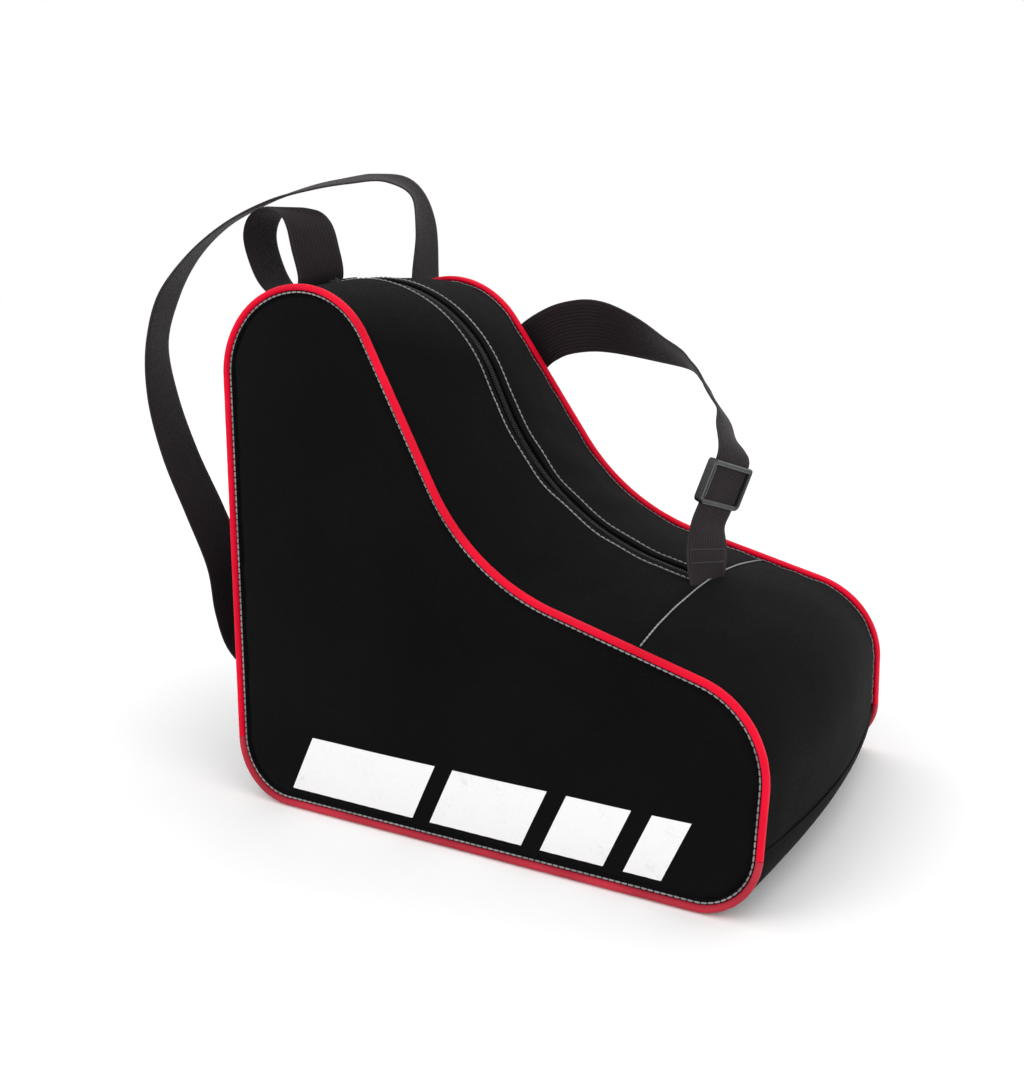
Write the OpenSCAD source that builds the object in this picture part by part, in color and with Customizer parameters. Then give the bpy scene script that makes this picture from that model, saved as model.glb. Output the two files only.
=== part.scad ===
// Skate bag: a boot-shaped padded bag for one pair of skates.
// +X points to the toe, +Y to the right side of the bag, +Z up.
// The origin is the middle of the flat base, on the surface it stands on.

/* [Side outline] */
// Half of the bag's length, from the middle of the base to the toe
toe_x = 200; // [190:1:210]
// Height of the crest above the floor
crest_z = 345; // [335:1:355]
// Radius of the crest arc
crest_r = 66; // [60:1:70]
// Radius of the rounded corner between crest and heel
corner_r = 55; // [50:1:60]
// Radius of the hollow throat between slope and instep
throat_r = 150; // [130:1:170]
// Radius of the rounded toe cap
toe_top_r = 60; // [55:1:64]
// Radius of the lower toe corner
toe_low_r = 38; // [34:1:42]
// Radius of the lower heel corner
heel_low_r = 45; // [40:1:50]
// Angle of the instep's outward normal above the X axis
instep_a = 75; // [72:1:78]
// Angle of the slope's outward normal above the X axis
slope_a = 32; // [30:1:36]
// Angle of the heel's outward normal
heel_a = 186.5; // [185:0.5:188]

/* [Width] */
// Half of the width between the piping centres at the floor
base_half = 144; // [134:1:150]
// Half of the width between the piping centres at the crest
top_half = 96; // [90:1:104]

/* [Crown of the wrap] */
// How far the toe panel bulges in its middle
toe_crown = 9.5; // [6:0.5:10]
// How far the heel panel bulges in its middle
heel_crown = 7; // [4:0.5:9]
// Radius of the zip line over the crest
ride_r = 110; // [108:1:112]
// Radius of the zip line in the throat
ride_throat_r = 180; // [160:5:190]

/* [Cloth layers] */
// Half of the piping's height, square to the seam
piping_r = 2.2; // [2:0.1:2.4]
// Half of the piping's width, across the seam
piping_w = 3.3; // [3:0.1:3.6]
// Thickness of the outer cloth with its backing
cloth_t = 2.2; // [1.5:0.1:2.5]
// Thickness of the foam padding
foam_t = 4.5; // [3:0.5:5]
// Thickness of the lining cloth
lining_t = 0.8; // [0.6:0.1:1]
// Thickness of the base board
board_t = 3; // [2:0.5:4]

/* [Zip] */
// Half of the gap between the two gusset edges
zip_gap = 6; // [5.5:0.5:7]
// Half of the width over the zip tapes
tape_half = 16; // [14:1:18]
// Width of one half of the coil
coil_w = 3.1; // [2.8:0.1:3.2]
// Length of the pull tab
puller_l = 20; // [20:1:26]

/* [Webbing] */
// Width of the webbing
web_w = 40; // [36:1:42]
// Thickness of the webbing
web_t = 1.8; // [1.4:0.1:2]

/* [Hidden] */

black = [0.02, 0.02, 0.022];
lining_grey = [0.12, 0.12, 0.13];
foam_grey = [0.35, 0.35, 0.37];
bright_red = [0.86, 0.0, 0.13];
deep_red = [0.6, 0.1, 0.16];
web_black = [0.05, 0.04, 0.045];
fit = 0.1;                                 // gap left between sewn layers

// ---------- Centres of the outline's arcs, as [x, z] ----------
heel_low_c = [-128, heel_low_r];
toe_low_c = [toe_x - toe_low_r, toe_low_r];
toe_top_c = [toe_x - toe_top_r, 76];
crest_c = [-140, crest_z - crest_r];
crest_end_a = 115;
corner_c = polar(crest_c, crest_r - corner_r, crest_end_a);
top_seam_a = 143;                          // where the heel panel meets the gusset
ride_c = [-147, crest_z - ride_r];         // centre of the zip line over the crest
ride_a0 = 25;
ride_a1 = 112;
ride_corner_r = 32;
ride_corner_c = polar(ride_c, ride_r - ride_corner_r, ride_a1);
ride_seam_a = 140;
toe_seam_x = 112;
piping_in = 0.7;                           // the piping's middle lies this far inside the bag's edge
edge_in = 4.6;                             // the cloth's edge lies this far inside the piping's rim
side_in = 2;                               // the side panel lies this far inside the piping's middle
lean = (base_half - top_half) / crest_z;

function unit2(a) = [cos(a), sin(a)];
function polar(c, r, a) = c + r * unit2(a);
function arc(c, r, a0, a1, n) = [for (i = [0:n]) polar(c, r, a0 + (a1 - a0) * i / n)];
function tail(list) = [for (i = [1:len(list) - 1]) list[i]];
function half_at(z) = base_half - lean * z;
// Point where the lines p*unit2(a) = d and p*unit2(b) = e cross
function cross_at(a, d, b, e) = [d * sin(b) - e * sin(a), e * cos(a) - d * cos(b)] / sin(b - a);
// Arc that curves inwards, with outward normals from a0 to a1
function hollow(c, r, a0, a1, n) = [for (i = [0:n]) polar(c, -r, a0 + (a1 - a0) * i / n)];

throat_c = cross_at(instep_a, toe_top_c * unit2(instep_a) + toe_top_r + throat_r,
    slope_a, crest_c * unit2(slope_a) + crest_r + throat_r);
ride_throat_c = cross_at(instep_a, toe_top_c * unit2(instep_a) + toe_top_r + toe_crown + ride_throat_r,
    ride_a0, ride_c * unit2(ride_a0) + ride_r + ride_throat_r);

// Point on the instep line at x, for a line of reach d along the instep normal
function instep_at(x, d) = [x, (d - x * cos(instep_a)) / sin(instep_a)];

// Numbers of steps along each stretch of the wrap
n_low = 6;
n_toe = 7;
n_throat = 9;
n_crest = 12;
n_corner = 3;
n_heel = 4;
// Stations of the seams along the wrap
i_toe_low = n_low;
i_toe_seam = n_low + n_toe + 2;
i_top_seam = i_toe_seam + n_throat + n_crest + n_corner + 2;
i_heel_low = i_top_seam + n_heel + 3;
i_end = i_heel_low + n_low;

// Side outline, moved outwards by off, from the lower toe corner round to the lower heel corner
function rim(off) = concat(
    arc(toe_low_c, toe_low_r + off, 270, 360, n_low),
    arc(toe_top_c, toe_top_r + off, 0, instep_a, n_toe),
    [instep_at(toe_seam_x, toe_top_c * unit2(instep_a) + toe_top_r + off)],
    hollow(throat_c, throat_r - off, instep_a, slope_a, n_throat),
    arc(crest_c, crest_r + off, slope_a, crest_end_a, n_crest),
    tail(arc(corner_c, corner_r + off, crest_end_a, top_seam_a, n_corner)),
    tail(arc(corner_c, corner_r + off, top_seam_a, heel_a, n_heel)),
    [for (k = [1:2]) polar(corner_c, corner_r + off, heel_a) * (1 - k / 3)
        + polar(heel_low_c, heel_low_r + off, heel_a) * k / 3],
    arc(heel_low_c, heel_low_r + off, heel_a, 270, n_low));

// Middle line of the wrap, station by station the partner of rim()
function ride(off) = concat(
    [for (i = [0:n_low]) polar(toe_low_c, toe_low_r + off + toe_crown * i / n_low, 270 + 90 * i / n_low)],
    arc(toe_top_c, toe_top_r + toe_crown + off, 0, instep_a, n_toe),
    [instep_at(toe_seam_x, toe_top_c * unit2(instep_a) + toe_top_r + toe_crown + off)],
    hollow(ride_throat_c, ride_throat_r - off, instep_a, ride_a0, n_throat),
    arc(ride_c, ride_r + off, ride_a0, ride_a1, n_crest),
    tail(arc(ride_corner_c, ride_corner_r + off, ride_a1, ride_seam_a, n_corner)),
    tail(arc(ride_corner_c, ride_corner_r + off, ride_seam_a, heel_a, n_heel)),
    [for (k = [1:2]) polar(ride_corner_c, ride_corner_r + off, heel_a) * (1 - k / 3)
        + polar(heel_low_c, heel_low_r + heel_crown + off, heel_a) * k / 3],
    [for (i = [0:n_low]) polar(heel_low_c, heel_low_r + off + heel_crown * (1 - i / n_low),
        heel_a + (270 - heel_a) * i / n_low)]);

// Half of the wrap's width at the rim point r
function wrap_h(r) = half_at(r.y) - side_in;
// Point of the wrap at y, a share k of the way from the rim point r to the middle point m
function wrap_at(r, m, y, k) = [r.x + (m.x - r.x) * k, y, r.y + (m.y - r.y) * k];
function wrap_point(r, m, y, h) = wrap_at(r, m, y, 1 - y * y / (h * h));
// Point a share f of the way from one list entry to the next
function between(list, i, f) = list[i] * (1 - f) + list[i + 1] * f;

// Closed solid between two grids of points with the same rows and columns
module slab(outer, inner) {
    rows = len(outer);
    cols = len(outer[0]);
    points = concat([for (row = outer) each row], [for (row = inner) each row]);
    n = rows * cols;
    function quad(a, b, c, d) = [[a, b, c], [a, c, d]];
    faces = concat(
        [for (i = [0:rows - 2], j = [0:cols - 2])
            each quad(i * cols + j, i * cols + j + 1, (i + 1) * cols + j + 1, (i + 1) * cols + j)],
        [for (i = [0:rows - 2], j = [0:cols - 2])
            each quad(n + i * cols + j, n + (i + 1) * cols + j,
                n + (i + 1) * cols + j + 1, n + i * cols + j + 1)],
        [for (i = [0:rows - 2]) each quad(i * cols, (i + 1) * cols, n + (i + 1) * cols, n + i * cols)],
        [for (i = [0:rows - 2]) each quad(i * cols + cols - 1, n + i * cols + cols - 1,
            n + (i + 1) * cols + cols - 1, (i + 1) * cols + cols - 1)],
        [for (j = [0:cols - 2]) each quad(j, n + j, n + j + 1, j + 1)],
        [for (j = [0:cols - 2]) each quad((rows - 1) * cols + j, (rows - 1) * cols + j + 1,
            n + (rows - 1) * cols + j + 1, n + (rows - 1) * cols + j)]);
    polyhedron(points = points, faces = faces, convexity = 6);
}

// Patch of the wrap from station i0 to i1, from depth d0 to d1 below the cloth.
// y0 and y1 are fixed distances from the middle; undef stands for the side panel's plane.
module wrap_patch(i0, i1, y0, y1, d0, d1, cols) {
    function grid(d) = let (r = rim(-edge_in - d), m = ride(-d), h0 = rim(-edge_in))
        [for (i = [i0:i1]) let (h = wrap_h(h0[i]),
            a = is_undef(y0) ? -h : y0, b = is_undef(y1) ? h : y1)
            [for (j = [0:cols]) let (y = a + (b - a) * j / cols) wrap_point(r[i], m[i], y, h)]];
    slab(grid(d0), grid(d1));
}

module wrap_half(i0, i1, side, y_in, d0, d1, cols) {
    if (side < 0) wrap_patch(i0, i1, undef, -y_in, d0, d1, cols);
    else wrap_patch(i0, i1, y_in, undef, d0, d1, cols);
}

// Flat leaning plate of the side outline moved outwards by off, from depth d0 to d1
// inside the plane through the piping's middle
module side_plate(side, off, d0, d1) {
    z0 = -20;
    z1 = crest_z + 20;
    intersection() {
        rotate([90, 0, 0]) linear_extrude(height = 4 * base_half, center = true) polygon(rim(off));
        rotate([90, 0, 90]) linear_extrude(height = 4 * toe_x, center = true)
            polygon([for (p = [[d0, z0], [d1, z0], [d1, z1], [d0, z1]])
                [side * (half_at(p.y) - p.x), p.y]]);
    }
}

// ---------- Swept tubes and ribbons ----------
function dir(v) = v / norm(v);
function spline_at(p, i, t) = let (n = len(p) - 1,
        a = p[max(i - 1, 0)], b = p[i], c = p[min(i + 1, n)], d = p[min(i + 2, n)])
    0.5 * (2 * b + (c - a) * t + (2 * a - 5 * b + 4 * c - d) * t * t + (3 * b - 3 * c + d - a) * t * t * t);
function spline(p, steps) = concat(
    [for (i = [0:len(p) - 2], k = [0:steps - 1]) spline_at(p, i, k / steps)], [p[len(p) - 1]]);
function tangent(p, i) = dir(p[min(i + 1, len(p) - 1)] - p[max(i - 1, 0)]);

// Solid through rings of points, closed at both ends
module skin_rings(rings) {
    m = len(rings[0]);
    n = len(rings);
    faces = concat([[for (j = [0:m - 1]) j]],
        [for (i = [0:n - 2], j = [0:m - 1]) each [
            [i * m + j, (i + 1) * m + j, (i + 1) * m + (j + 1) % m],
            [i * m + j, (i + 1) * m + (j + 1) % m, i * m + (j + 1) % m]]],
        [[for (j = [m - 1:-1:0]) (n - 1) * m + j]]);
    polyhedron(points = [for (r = rings) each r], faces = faces, convexity = 8);
}

// Flat band along path, with its width along the direction across[i]
module ribbon(path, across, width, thick) {
    skin_rings([for (i = [0:len(path) - 1])
        let (t = tangent(path, i), w0 = across[i], w = dir(w0 - (w0 * t) * t), n = cross(t, w))
        [for (q = [[1, 1], [1, -1], [-1, -1], [-1, 1]])
            path[i] + w * (q.x * width / 2) + n * (q.y * thick / 2)]]);
}

// ---------- Cloth panels ----------
module side_panel(side) {
    color(black) side_plate(side, -edge_in - cloth_t - fit, side_in, side_in + cloth_t);
}

module side_foam(side) {
    d = side_in + cloth_t + fit;
    color(foam_grey) side_plate(side, -edge_in - cloth_t - 3, d, d + foam_t);
}

module side_lining(side) {
    d = side_in + cloth_t + foam_t + 2 * fit;
    color(lining_grey) side_plate(side, -edge_in - cloth_t - 3, d, d + lining_t);
}

module gusset(side) {
    color(black) wrap_half(i_toe_seam, i_top_seam, side, zip_gap, 0, cloth_t, 5);
}

module gusset_lining(side) {
    color(lining_grey) wrap_liner(i_toe_seam, i_top_seam, side, tape_half + 1, 5);
}

// Lining under the wrap, kept clear of the side padding; side 0 is a whole strip
module wrap_liner(i0, i1, side, y_in, cols) {
    d0 = cloth_t + 1.2;
    d1 = d0 + lining_t;
    inset = cloth_t + foam_t + lining_t + 1;
    h0 = rim(-edge_in);
    function grid(d) = let (r = rim(-edge_in - d), m = ride(-d))
        [for (i = [i0:i1]) let (h = wrap_h(h0[i]), e = h - inset,
            a = side > 0 ? y_in : -e, b = side < 0 ? -y_in : e)
            [for (j = [0:cols]) let (y = a + (b - a) * j / cols) wrap_point(r[i], m[i], y, h)]];
    slab(grid(d0), grid(d1));
}

module toe_panel() {
    color(black) wrap_patch(i_toe_low, i_toe_seam, undef, undef, 0, cloth_t, 10);
}

module toe_lining() {
    color(lining_grey) wrap_liner(i_toe_low, i_toe_seam, 0, 0, 8);
}

module heel_panel() {
    color(black) wrap_patch(i_top_seam, i_heel_low, undef, undef, 0, cloth_t, 10);
}

module heel_lining() {
    color(lining_grey) wrap_liner(i_top_seam, i_heel_low, 0, 0, 8);
}

// The base panel lies flat on the floor and turns up at both ends, to the seams
// of the heel and toe panels, where its flat middle becomes their crown
base_flat = 0.92;                          // share of the base's width that lies flat
module base_panel() {
    h0 = [for (p = rim(-edge_in)) wrap_h(p)];
    order = concat([for (i = [i_heel_low:i_end]) i], [for (i = [0:i_toe_low]) i]);
    cross = [-1, -base_flat, -0.6, -0.3, 0, 0.3, 0.6, base_flat, 1];
    function crowned(i) = i > i_toe_low ? (i_end - i) / n_low : i / n_low;
    function share(u, c) = c * (1 - u * u) + (1 - c) * min(1, (1 - abs(u)) / (1 - base_flat));
    function grid(d) = let (r = rim(-edge_in - d), m = ride(-d))
        [for (i = order) [for (u = cross) wrap_at(r[i], m[i], u * h0[i], share(u, crowned(i)))]];
    color(black) slab(grid(0), grid(cloth_t));
}

module base_board() {
    color([0.15, 0.15, 0.16]) floor_plate(cloth_t + fit, board_t);
}

module base_lining() {
    color(lining_grey) floor_plate(cloth_t + board_t + 2 * fit, lining_t);
}

// Flat plate inside the base, from height z up by t
module floor_plate(z, t) {
    w = base_flat * (base_half - side_in) - 1;
    translate([heel_low_c.x, -w, z]) cube([toe_low_c.x - heel_low_c.x, 2 * w, t]);
}

// ---------- Piping and bindings ----------
module piping(side, rows) {
    path = [for (p = rows) [p.x, side * (half_at(p.y) - piping_in), p.y]];
    sides = 8;
    across = [0, 1, 0];
    skin_rings([for (i = [0:len(path) - 1])
        let (t = tangent(path, i), w = dir(across - (across * t) * t), n = cross(t, w))
        [for (k = [sides - 1:-1:0]) let (a = 360 * k / sides)
            path[i] + piping_w * cos(a) * w + piping_r * sin(a) * n]]);
}

module piping_upper(side) {
    rows = rim(-piping_r);
    color(bright_red) piping(side, [for (i = [i_toe_low:i_heel_low]) rows[i]]);
}

module piping_base(side) {
    rows = rim(-piping_r);
    gap = 0.4;
    up = concat([for (i = [i_heel_low:i_end]) rows[i]], [for (i = [0:i_toe_low]) rows[i]]);
    n = len(up) - 1;
    first = up[0] + gap * dir(up[1] - up[0]);
    last = up[n] + gap * dir(up[n - 1] - up[n]);
    color(deep_red) piping(side, concat([first], [for (i = [1:n - 1]) up[i]], [last]));
}

// Tape sewn over the raw seam inside, all round one side
module seam_binding(side) {
    d = side_in + cloth_t + foam_t + lining_t + 3 * fit;
    color(black) difference() {
        side_plate(side, -edge_in - cloth_t - 3, d, d + 1);
        side_plate(side, -edge_in - cloth_t - 15, d - 1, d + 2);
    }
}

// ---------- Zip ----------
// Strip of the zip along the middle line, between y = a and y = b
module zip_strip(i0, i1, a, b, d0, d1) {
    wrap_patch(i0, i1, min(a, b), max(a, b), d0, d1, 1);
}

module zip_tape(side) {
    d = cloth_t + 0.4;
    color(black) zip_strip(i_toe_seam, i_top_seam, side * (coil_w + fit), side * tape_half, d, d + 0.8);
}

module zip_coil(side) {
    color([0.07, 0.07, 0.08])
        zip_strip(i_toe_seam, i_top_seam, side * fit / 2, side * coil_w, 0.6, cloth_t + 1.1);
}

// Ring sector about the axis of the crest, from angle a0 to a1, radii r0 to r1, widths y0 to y1
module sector(r0, r1, a0, a1, y0, y1) {
    translate([ride_c.x, 0, ride_c.y]) rotate([90, 0, 0]) rotate([0, 0, a0])
        rotate_extrude(angle = a1 - a0, $fn = 180) translate([r0, -y1]) square([r1 - r0, y1 - y0]);
}

// The slider is parked at the heel end of its travel, between these angles about the crest's centre
slider_a0 = 104;
slider_a1 = 112;
bridge_a = (slider_a0 + slider_a1) / 2;
eye_r = 1.3;
puller_tilt = 11;                           // how far the pull tab dips below the tangent
pin = polar(ride_c, ride_r + 3.6, bridge_a);

module zip_slider() {
    color([0.09, 0.09, 0.1]) {
        sector(ride_r - 0.2, ride_r + 1.4, slider_a0, slider_a1, -4.8, 4.8);
        for (y = [-4.8, 3.6]) sector(ride_r - 1.9, ride_r, slider_a0, slider_a1, y, y + 1.2);
        difference() {
            sector(ride_r + 1.2, ride_r + 5.8, bridge_a - 1.6, bridge_a + 1.6, -1.3, 1.3);
            translate([pin.x, 0, pin.y]) rotate([90, 0, 0])
                cylinder(r = eye_r, h = 10, center = true, $fn = 32);
        }
    }
}

// The tab lies forwards in the zip's channel, and its pin runs through the slider's bridge
module zip_puller() {
    tab_w = 7;
    tab_t = 1.4;
    arm = [7.5, 1.7, 1.8];
    color([0.05, 0.05, 0.055]) translate([pin.x, 0, pin.y]) rotate([0, -(bridge_a - 90 - puller_tilt), 0]) {
        rotate([90, 0, 0]) cylinder(r = eye_r - 0.08, h = tab_w, center = true, $fn = 32);
        for (side = [-1, 1])
            translate([-arm.z / 2, side * (tab_w - arm.y) / 2 - arm.y / 2, -arm.z / 2]) cube(arm);
        translate([4.4, -tab_w / 2, -tab_t / 2]) cube([puller_l - 4.4 - tab_w / 2, tab_w, tab_t]);
        translate([puller_l - tab_w / 2, 0, -tab_t / 2]) cylinder(d = tab_w, h = tab_t, $fn = 48);
    }
}

// Clip over both halves of the coil, a share f of the way from station i to the next
stop_l = 4;
module zip_stop(i, f) {
    g1 = f + stop_l / norm(ride(0)[i + 1] - ride(0)[i]);
    function row(d, g) = let (r = between(rim(-edge_in - d), i, g), m = between(ride(-d), i, g),
        h = wrap_h(between(rim(-edge_in), i, g)))
        [for (y = [-coil_w - 0.6, coil_w + 0.6]) wrap_point(r, m, y, h)];
    color([0.25, 0.25, 0.26])
        slab([for (g = [f, g1]) row(-0.4, g)], [for (g = [f, g1]) row(0.5, g)]);
}

// ---------- Grab loop ----------
loop_route = [[-206, 325], [-222, 330], [-237, 342], [-246, 360], [-249, 376], [-243, 389],
    [-229, 395], [-213, 392], [-203, 382], [-198, 366], [-194, 348], [-198, 336], [-203, 328]];
module grab_loop() {
    flat = [for (p = loop_route) [p.x, 0, p.y]];
    path = spline(flat, 3);
    n = len(path) - 1;
    // The front leg turns a little towards the side
    across = [for (i = [0:n]) let (u = i / n, a = 28 * max(0, sin(180 * (u - 0.5) * 2))) [sin(a), cos(a), 0]];
    color(web_black) ribbon(path, across, web_w - 2, web_t);
}

// ---------- Shoulder strap ----------
// The strap's foot is sewn into the toe seam. Above it the strap leans over and runs straight through
// the adjuster
strap_foot = [112, 0, 161];
adjuster_mid = [117, 12, 217];
strap_up = dir([27, 22, 94]);
strap_flat = dir([0.23, 0.93, -0.285]);    // direction of the strap's width in the adjuster
straight = [for (t = [14, 8, 2, -6, -16, -28]) adjuster_mid + t * strap_up];

// Route of the strap's middle from the heel, over the grab loop and down the right side, then up
// again to the adjuster and the toe seam, and the direction of its width at each point
strap_route = concat([
    [-182, -80, 66], [-198, -80, 72], [-214, -81, 87], [-222, -82, 112], [-227, -82, 144],
    [-246, -80, 180], [-271, -75, 219], [-291, -68, 259], [-301, -60, 298], [-297, -50, 331],
    [-282, -38, 360], [-262, -22, 383], [-241, 0, 399], [-222, 24, 409], [-206, 48, 415],
    [-190, 74, 418], [-178, 100, 409], [-176, 116, 382], [-182, 124, 340], [-185, 131, 296],
    [-180, 138, 256], [-163, 142, 228], [-136, 141, 226], [-112, 137, 252], [-90, 130, 285],
    [-66, 124, 301], [-40, 116, 308], [-12, 105, 309], [26, 88, 303], [62, 69, 294],
    [81, 56, 283], [95.5, 44, 270], [107, 35, 259], [113.5, 27, 249.5], [118, 22, 243.5],
    [120.5, 19, 239], [121.4, 16.7, 234.6]],
    straight, [[110, 3, 177], strap_foot]);
strap_across = concat([
    [0, 1, 0], [0, 1, 0], [0, 1, 0], [0, 1, 0], [0, 1, 0],
    [-0.02, 1, 0], [-0.1, 0.99, 0], [-0.22, 0.97, 0], [-0.36, 0.93, 0], [-0.33, 0.95, 0],
    [-0.45, 0.89, 0], [-0.56, 0.83, 0], [-0.6, 0.8, 0], [-0.68, 0.73, 0.05], [-0.7, 0.7, 0.1],
    [-0.6, 0.78, 0.15], [-0.38, 0.9, 0.2], [-0.15, 0.97, 0.2], [0, 1, 0], [0, 1, 0],
    [0, 1, 0], [0, 1, 0], [0.15, 0.85, -0.5], [0.3, 0.5, -0.8], [0.4, 0.15, -0.9],
    [0.3, 0, -0.95], [0.1, 0.1, -0.99], [-0.1, 0.35, -0.93], [-0.25, 0.7, -0.68], [-0.31, 0.9, -0.3],
    [-0.33, 0.93, -0.16], [-0.31, 0.94, -0.14], [-0.22, 0.95, -0.18], [-0.06, 0.96, -0.25], [0.1, 0.94, -0.3],
    [0.18, 0.93, -0.3], [0.22, 0.93, -0.3]],
    [for (k = [1:6]) strap_flat], [[0.38, 0.9, -0.2], [0.42, 0.9, -0.1]]);

module shoulder_strap() {
    color(web_black) ribbon(spline(strap_route, 3), spline(strap_across, 3), web_w, web_t);
}

// Three-bar slide: the strap runs behind the two outer bars and in front of the middle one
module strap_adjuster() {
    rail = 3;
    slot = web_w / 2 + 0.6;
    tall = 30;
    deep = 3.4;
    front = web_t / 2 + 0.5;
    bar = 3.6;
    out = cross(strap_flat, strap_up);
    m = [for (k = [0:2]) [strap_flat[k], out[k], strap_up[k], adjuster_mid[k]]];
    color([0.06, 0.065, 0.065]) multmatrix(concat(m, [[0, 0, 0, 1]])) {
        for (side = [-1, 1])
            translate([side * (slot + rail / 2) - rail / 2, -deep, -tall / 2]) cube([rail, 2 * deep, tall]);
        for (z = [-tall / 2, tall / 2 - bar])
            translate([-slot, front, z]) cube([2 * slot, deep - front, bar]);
        translate([-slot, -deep, -bar]) cube([2 * slot, deep - front, 2 * bar]);
    }
}

// Webbing patch that holds the strap's lower end on the heel panel
module strap_anchor_patch() {
    i = i_heel_low - 1;
    half = web_w / 2 + 4;
    function row(d, f) = let (r = between(rim(-edge_in - d), i, f), m = between(ride(-d), i, f),
        h = wrap_h(between(rim(-edge_in), i, f)))
        [for (k = [0:2]) wrap_point(r, m, strap_route[0].y + half * (k - 1), h)];
    rows = [0.3, 0.52, 0.74];
    color(web_black) slab([for (f = rows) row(-fit - web_t, f)], [for (f = rows) row(-fit, f)]);
}

// ---------- Printed mark: a row of slanted bars on the left side ----------
mark_z0 = 12;
mark_h = 38;
mark_x0 = -126;
mark_widths = [96, 66, 42, 24];
mark_gap = 13;
mark_slant = 16;
function sum_to(list, n) = n == 0 ? 0 : list[n - 1] + sum_to(list, n - 1);
module side_mark() {
    d = side_in - 0.5;
    color("white") intersection() {
        rotate([90, 0, 0]) linear_extrude(height = 4 * base_half, center = true)
            for (k = [0:len(mark_widths) - 1]) {
                x = mark_x0 + sum_to(mark_widths, k) + k * mark_gap;
                polygon([[x, mark_z0], [x + mark_widths[k], mark_z0],
                    [x + mark_widths[k] + mark_slant, mark_z0 + mark_h], [x + mark_slant, mark_z0 + mark_h]]);
            }
        side_plate(-1, -8, d, d + 0.45);
    }
}

side_panel(-1);  // side_panel_left
side_panel(1);  // side_panel_right
side_foam(-1);  // side_foam_left
side_foam(1);  // side_foam_right
side_lining(-1);  // side_lining_left
side_lining(1);  // side_lining_right
gusset(-1);  // gusset_left
gusset(1);  // gusset_right
gusset_lining(-1);  // gusset_lining_left
gusset_lining(1);  // gusset_lining_right
toe_panel();
toe_lining();
heel_panel();
heel_lining();
base_panel();
base_board();
base_lining();
piping_upper(-1);  // piping_left_upper
piping_base(-1);  // piping_left_base
piping_upper(1);  // piping_right_upper
piping_base(1);  // piping_right_base
seam_binding(-1);  // seam_binding_left
seam_binding(1);  // seam_binding_right
zip_tape(-1);  // zip_tape_left
zip_tape(1);  // zip_tape_right
zip_coil(-1);  // zip_coil_left
zip_coil(1);  // zip_coil_right
zip_stop(i_toe_seam, 0.05);  // zip_stop_front
zip_stop(i_top_seam - 1, 0.1);  // zip_stop_rear
zip_slider();
zip_puller();
grab_loop();
shoulder_strap();
strap_adjuster();
strap_anchor_patch();
side_mark();
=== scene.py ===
"""Skate bag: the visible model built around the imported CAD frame.

Shapes are worked out in millimetres, with the same axes and origin as the CAD model
(+X to the toe, +Y to the bag's right side, +Z up), and scaled to metres as each mesh is made.
"""

import math

import bmesh
import bpy
import numpy as np
from mathutils import Matrix, Vector, noise
from mathutils.bvhtree import BVHTree


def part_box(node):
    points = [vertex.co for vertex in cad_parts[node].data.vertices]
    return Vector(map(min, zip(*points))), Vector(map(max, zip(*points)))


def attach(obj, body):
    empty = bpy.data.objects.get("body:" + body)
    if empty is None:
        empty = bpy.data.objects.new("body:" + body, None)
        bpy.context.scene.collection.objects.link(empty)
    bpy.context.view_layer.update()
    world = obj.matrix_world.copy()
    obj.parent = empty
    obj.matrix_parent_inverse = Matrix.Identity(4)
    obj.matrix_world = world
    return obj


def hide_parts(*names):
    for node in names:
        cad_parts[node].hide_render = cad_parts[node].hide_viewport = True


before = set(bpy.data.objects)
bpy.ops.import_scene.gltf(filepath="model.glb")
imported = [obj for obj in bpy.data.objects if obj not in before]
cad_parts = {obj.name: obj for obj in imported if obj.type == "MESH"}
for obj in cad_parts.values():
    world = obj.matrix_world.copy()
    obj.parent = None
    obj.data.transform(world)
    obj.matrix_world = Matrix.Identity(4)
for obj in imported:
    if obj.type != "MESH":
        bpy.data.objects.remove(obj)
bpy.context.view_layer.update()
MM = 0.001
SIDES = ((-1, "left"), (1, "right"))


def link(name, data):
    """New object in the scene for a mesh, camera or light."""
    obj = bpy.data.objects.new(name, data)
    bpy.context.scene.collection.objects.link(obj)
    return obj


# ---- camera
camera_data = bpy.data.cameras.new("camera")
camera_data.sensor_fit = "HORIZONTAL"
camera_data.sensor_width = 36
camera_data.lens = 44.3
camera_data.clip_end = 60
camera = link("camera", camera_data)
camera.location = (0.3823, -0.7642, 0.3742)
camera.rotation_euler = (math.radians(90 - 13.77), 0, math.radians(28.58))
bpy.context.scene.camera = camera

# ---- outline, as in the CAD model
# Radii, insets and half widths in millimetres, angles in degrees
PIPING_R = 2.2
PIPING_W = 3.3
PIPING_IN = 0.7
EDGE_IN = 4.6
SIDE_IN = 2.0
CLOTH_T = 2.2
ZIP_GAP = 6.0
COIL_W = 3.1
BASE_HALF = 144.0
TOP_HALF = 96.0
CREST_Z = 345.0
LEAN = (BASE_HALF - TOP_HALF) / CREST_Z
INSTEP_A = 75
SLOPE_A = 32
HEEL_A = 186.5
CREST_A = 115
CORNER_A = 143
TOE_CROWN = 9.5
HEEL_CROWN = 7.0
BASE_FLAT = 0.92
TOE_SEAM_X = 112


def unit(v):
    v = np.asarray(v, float)
    return v / np.linalg.norm(v)


def unit2(a):
    """Unit vector in the XZ plane at a degrees."""
    return np.array([math.cos(math.radians(a)), math.sin(math.radians(a))])


def polar(c, r, a):
    return np.asarray(c, float) + r * unit2(a)


def half_at(z):
    return BASE_HALF - LEAN * z


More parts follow.
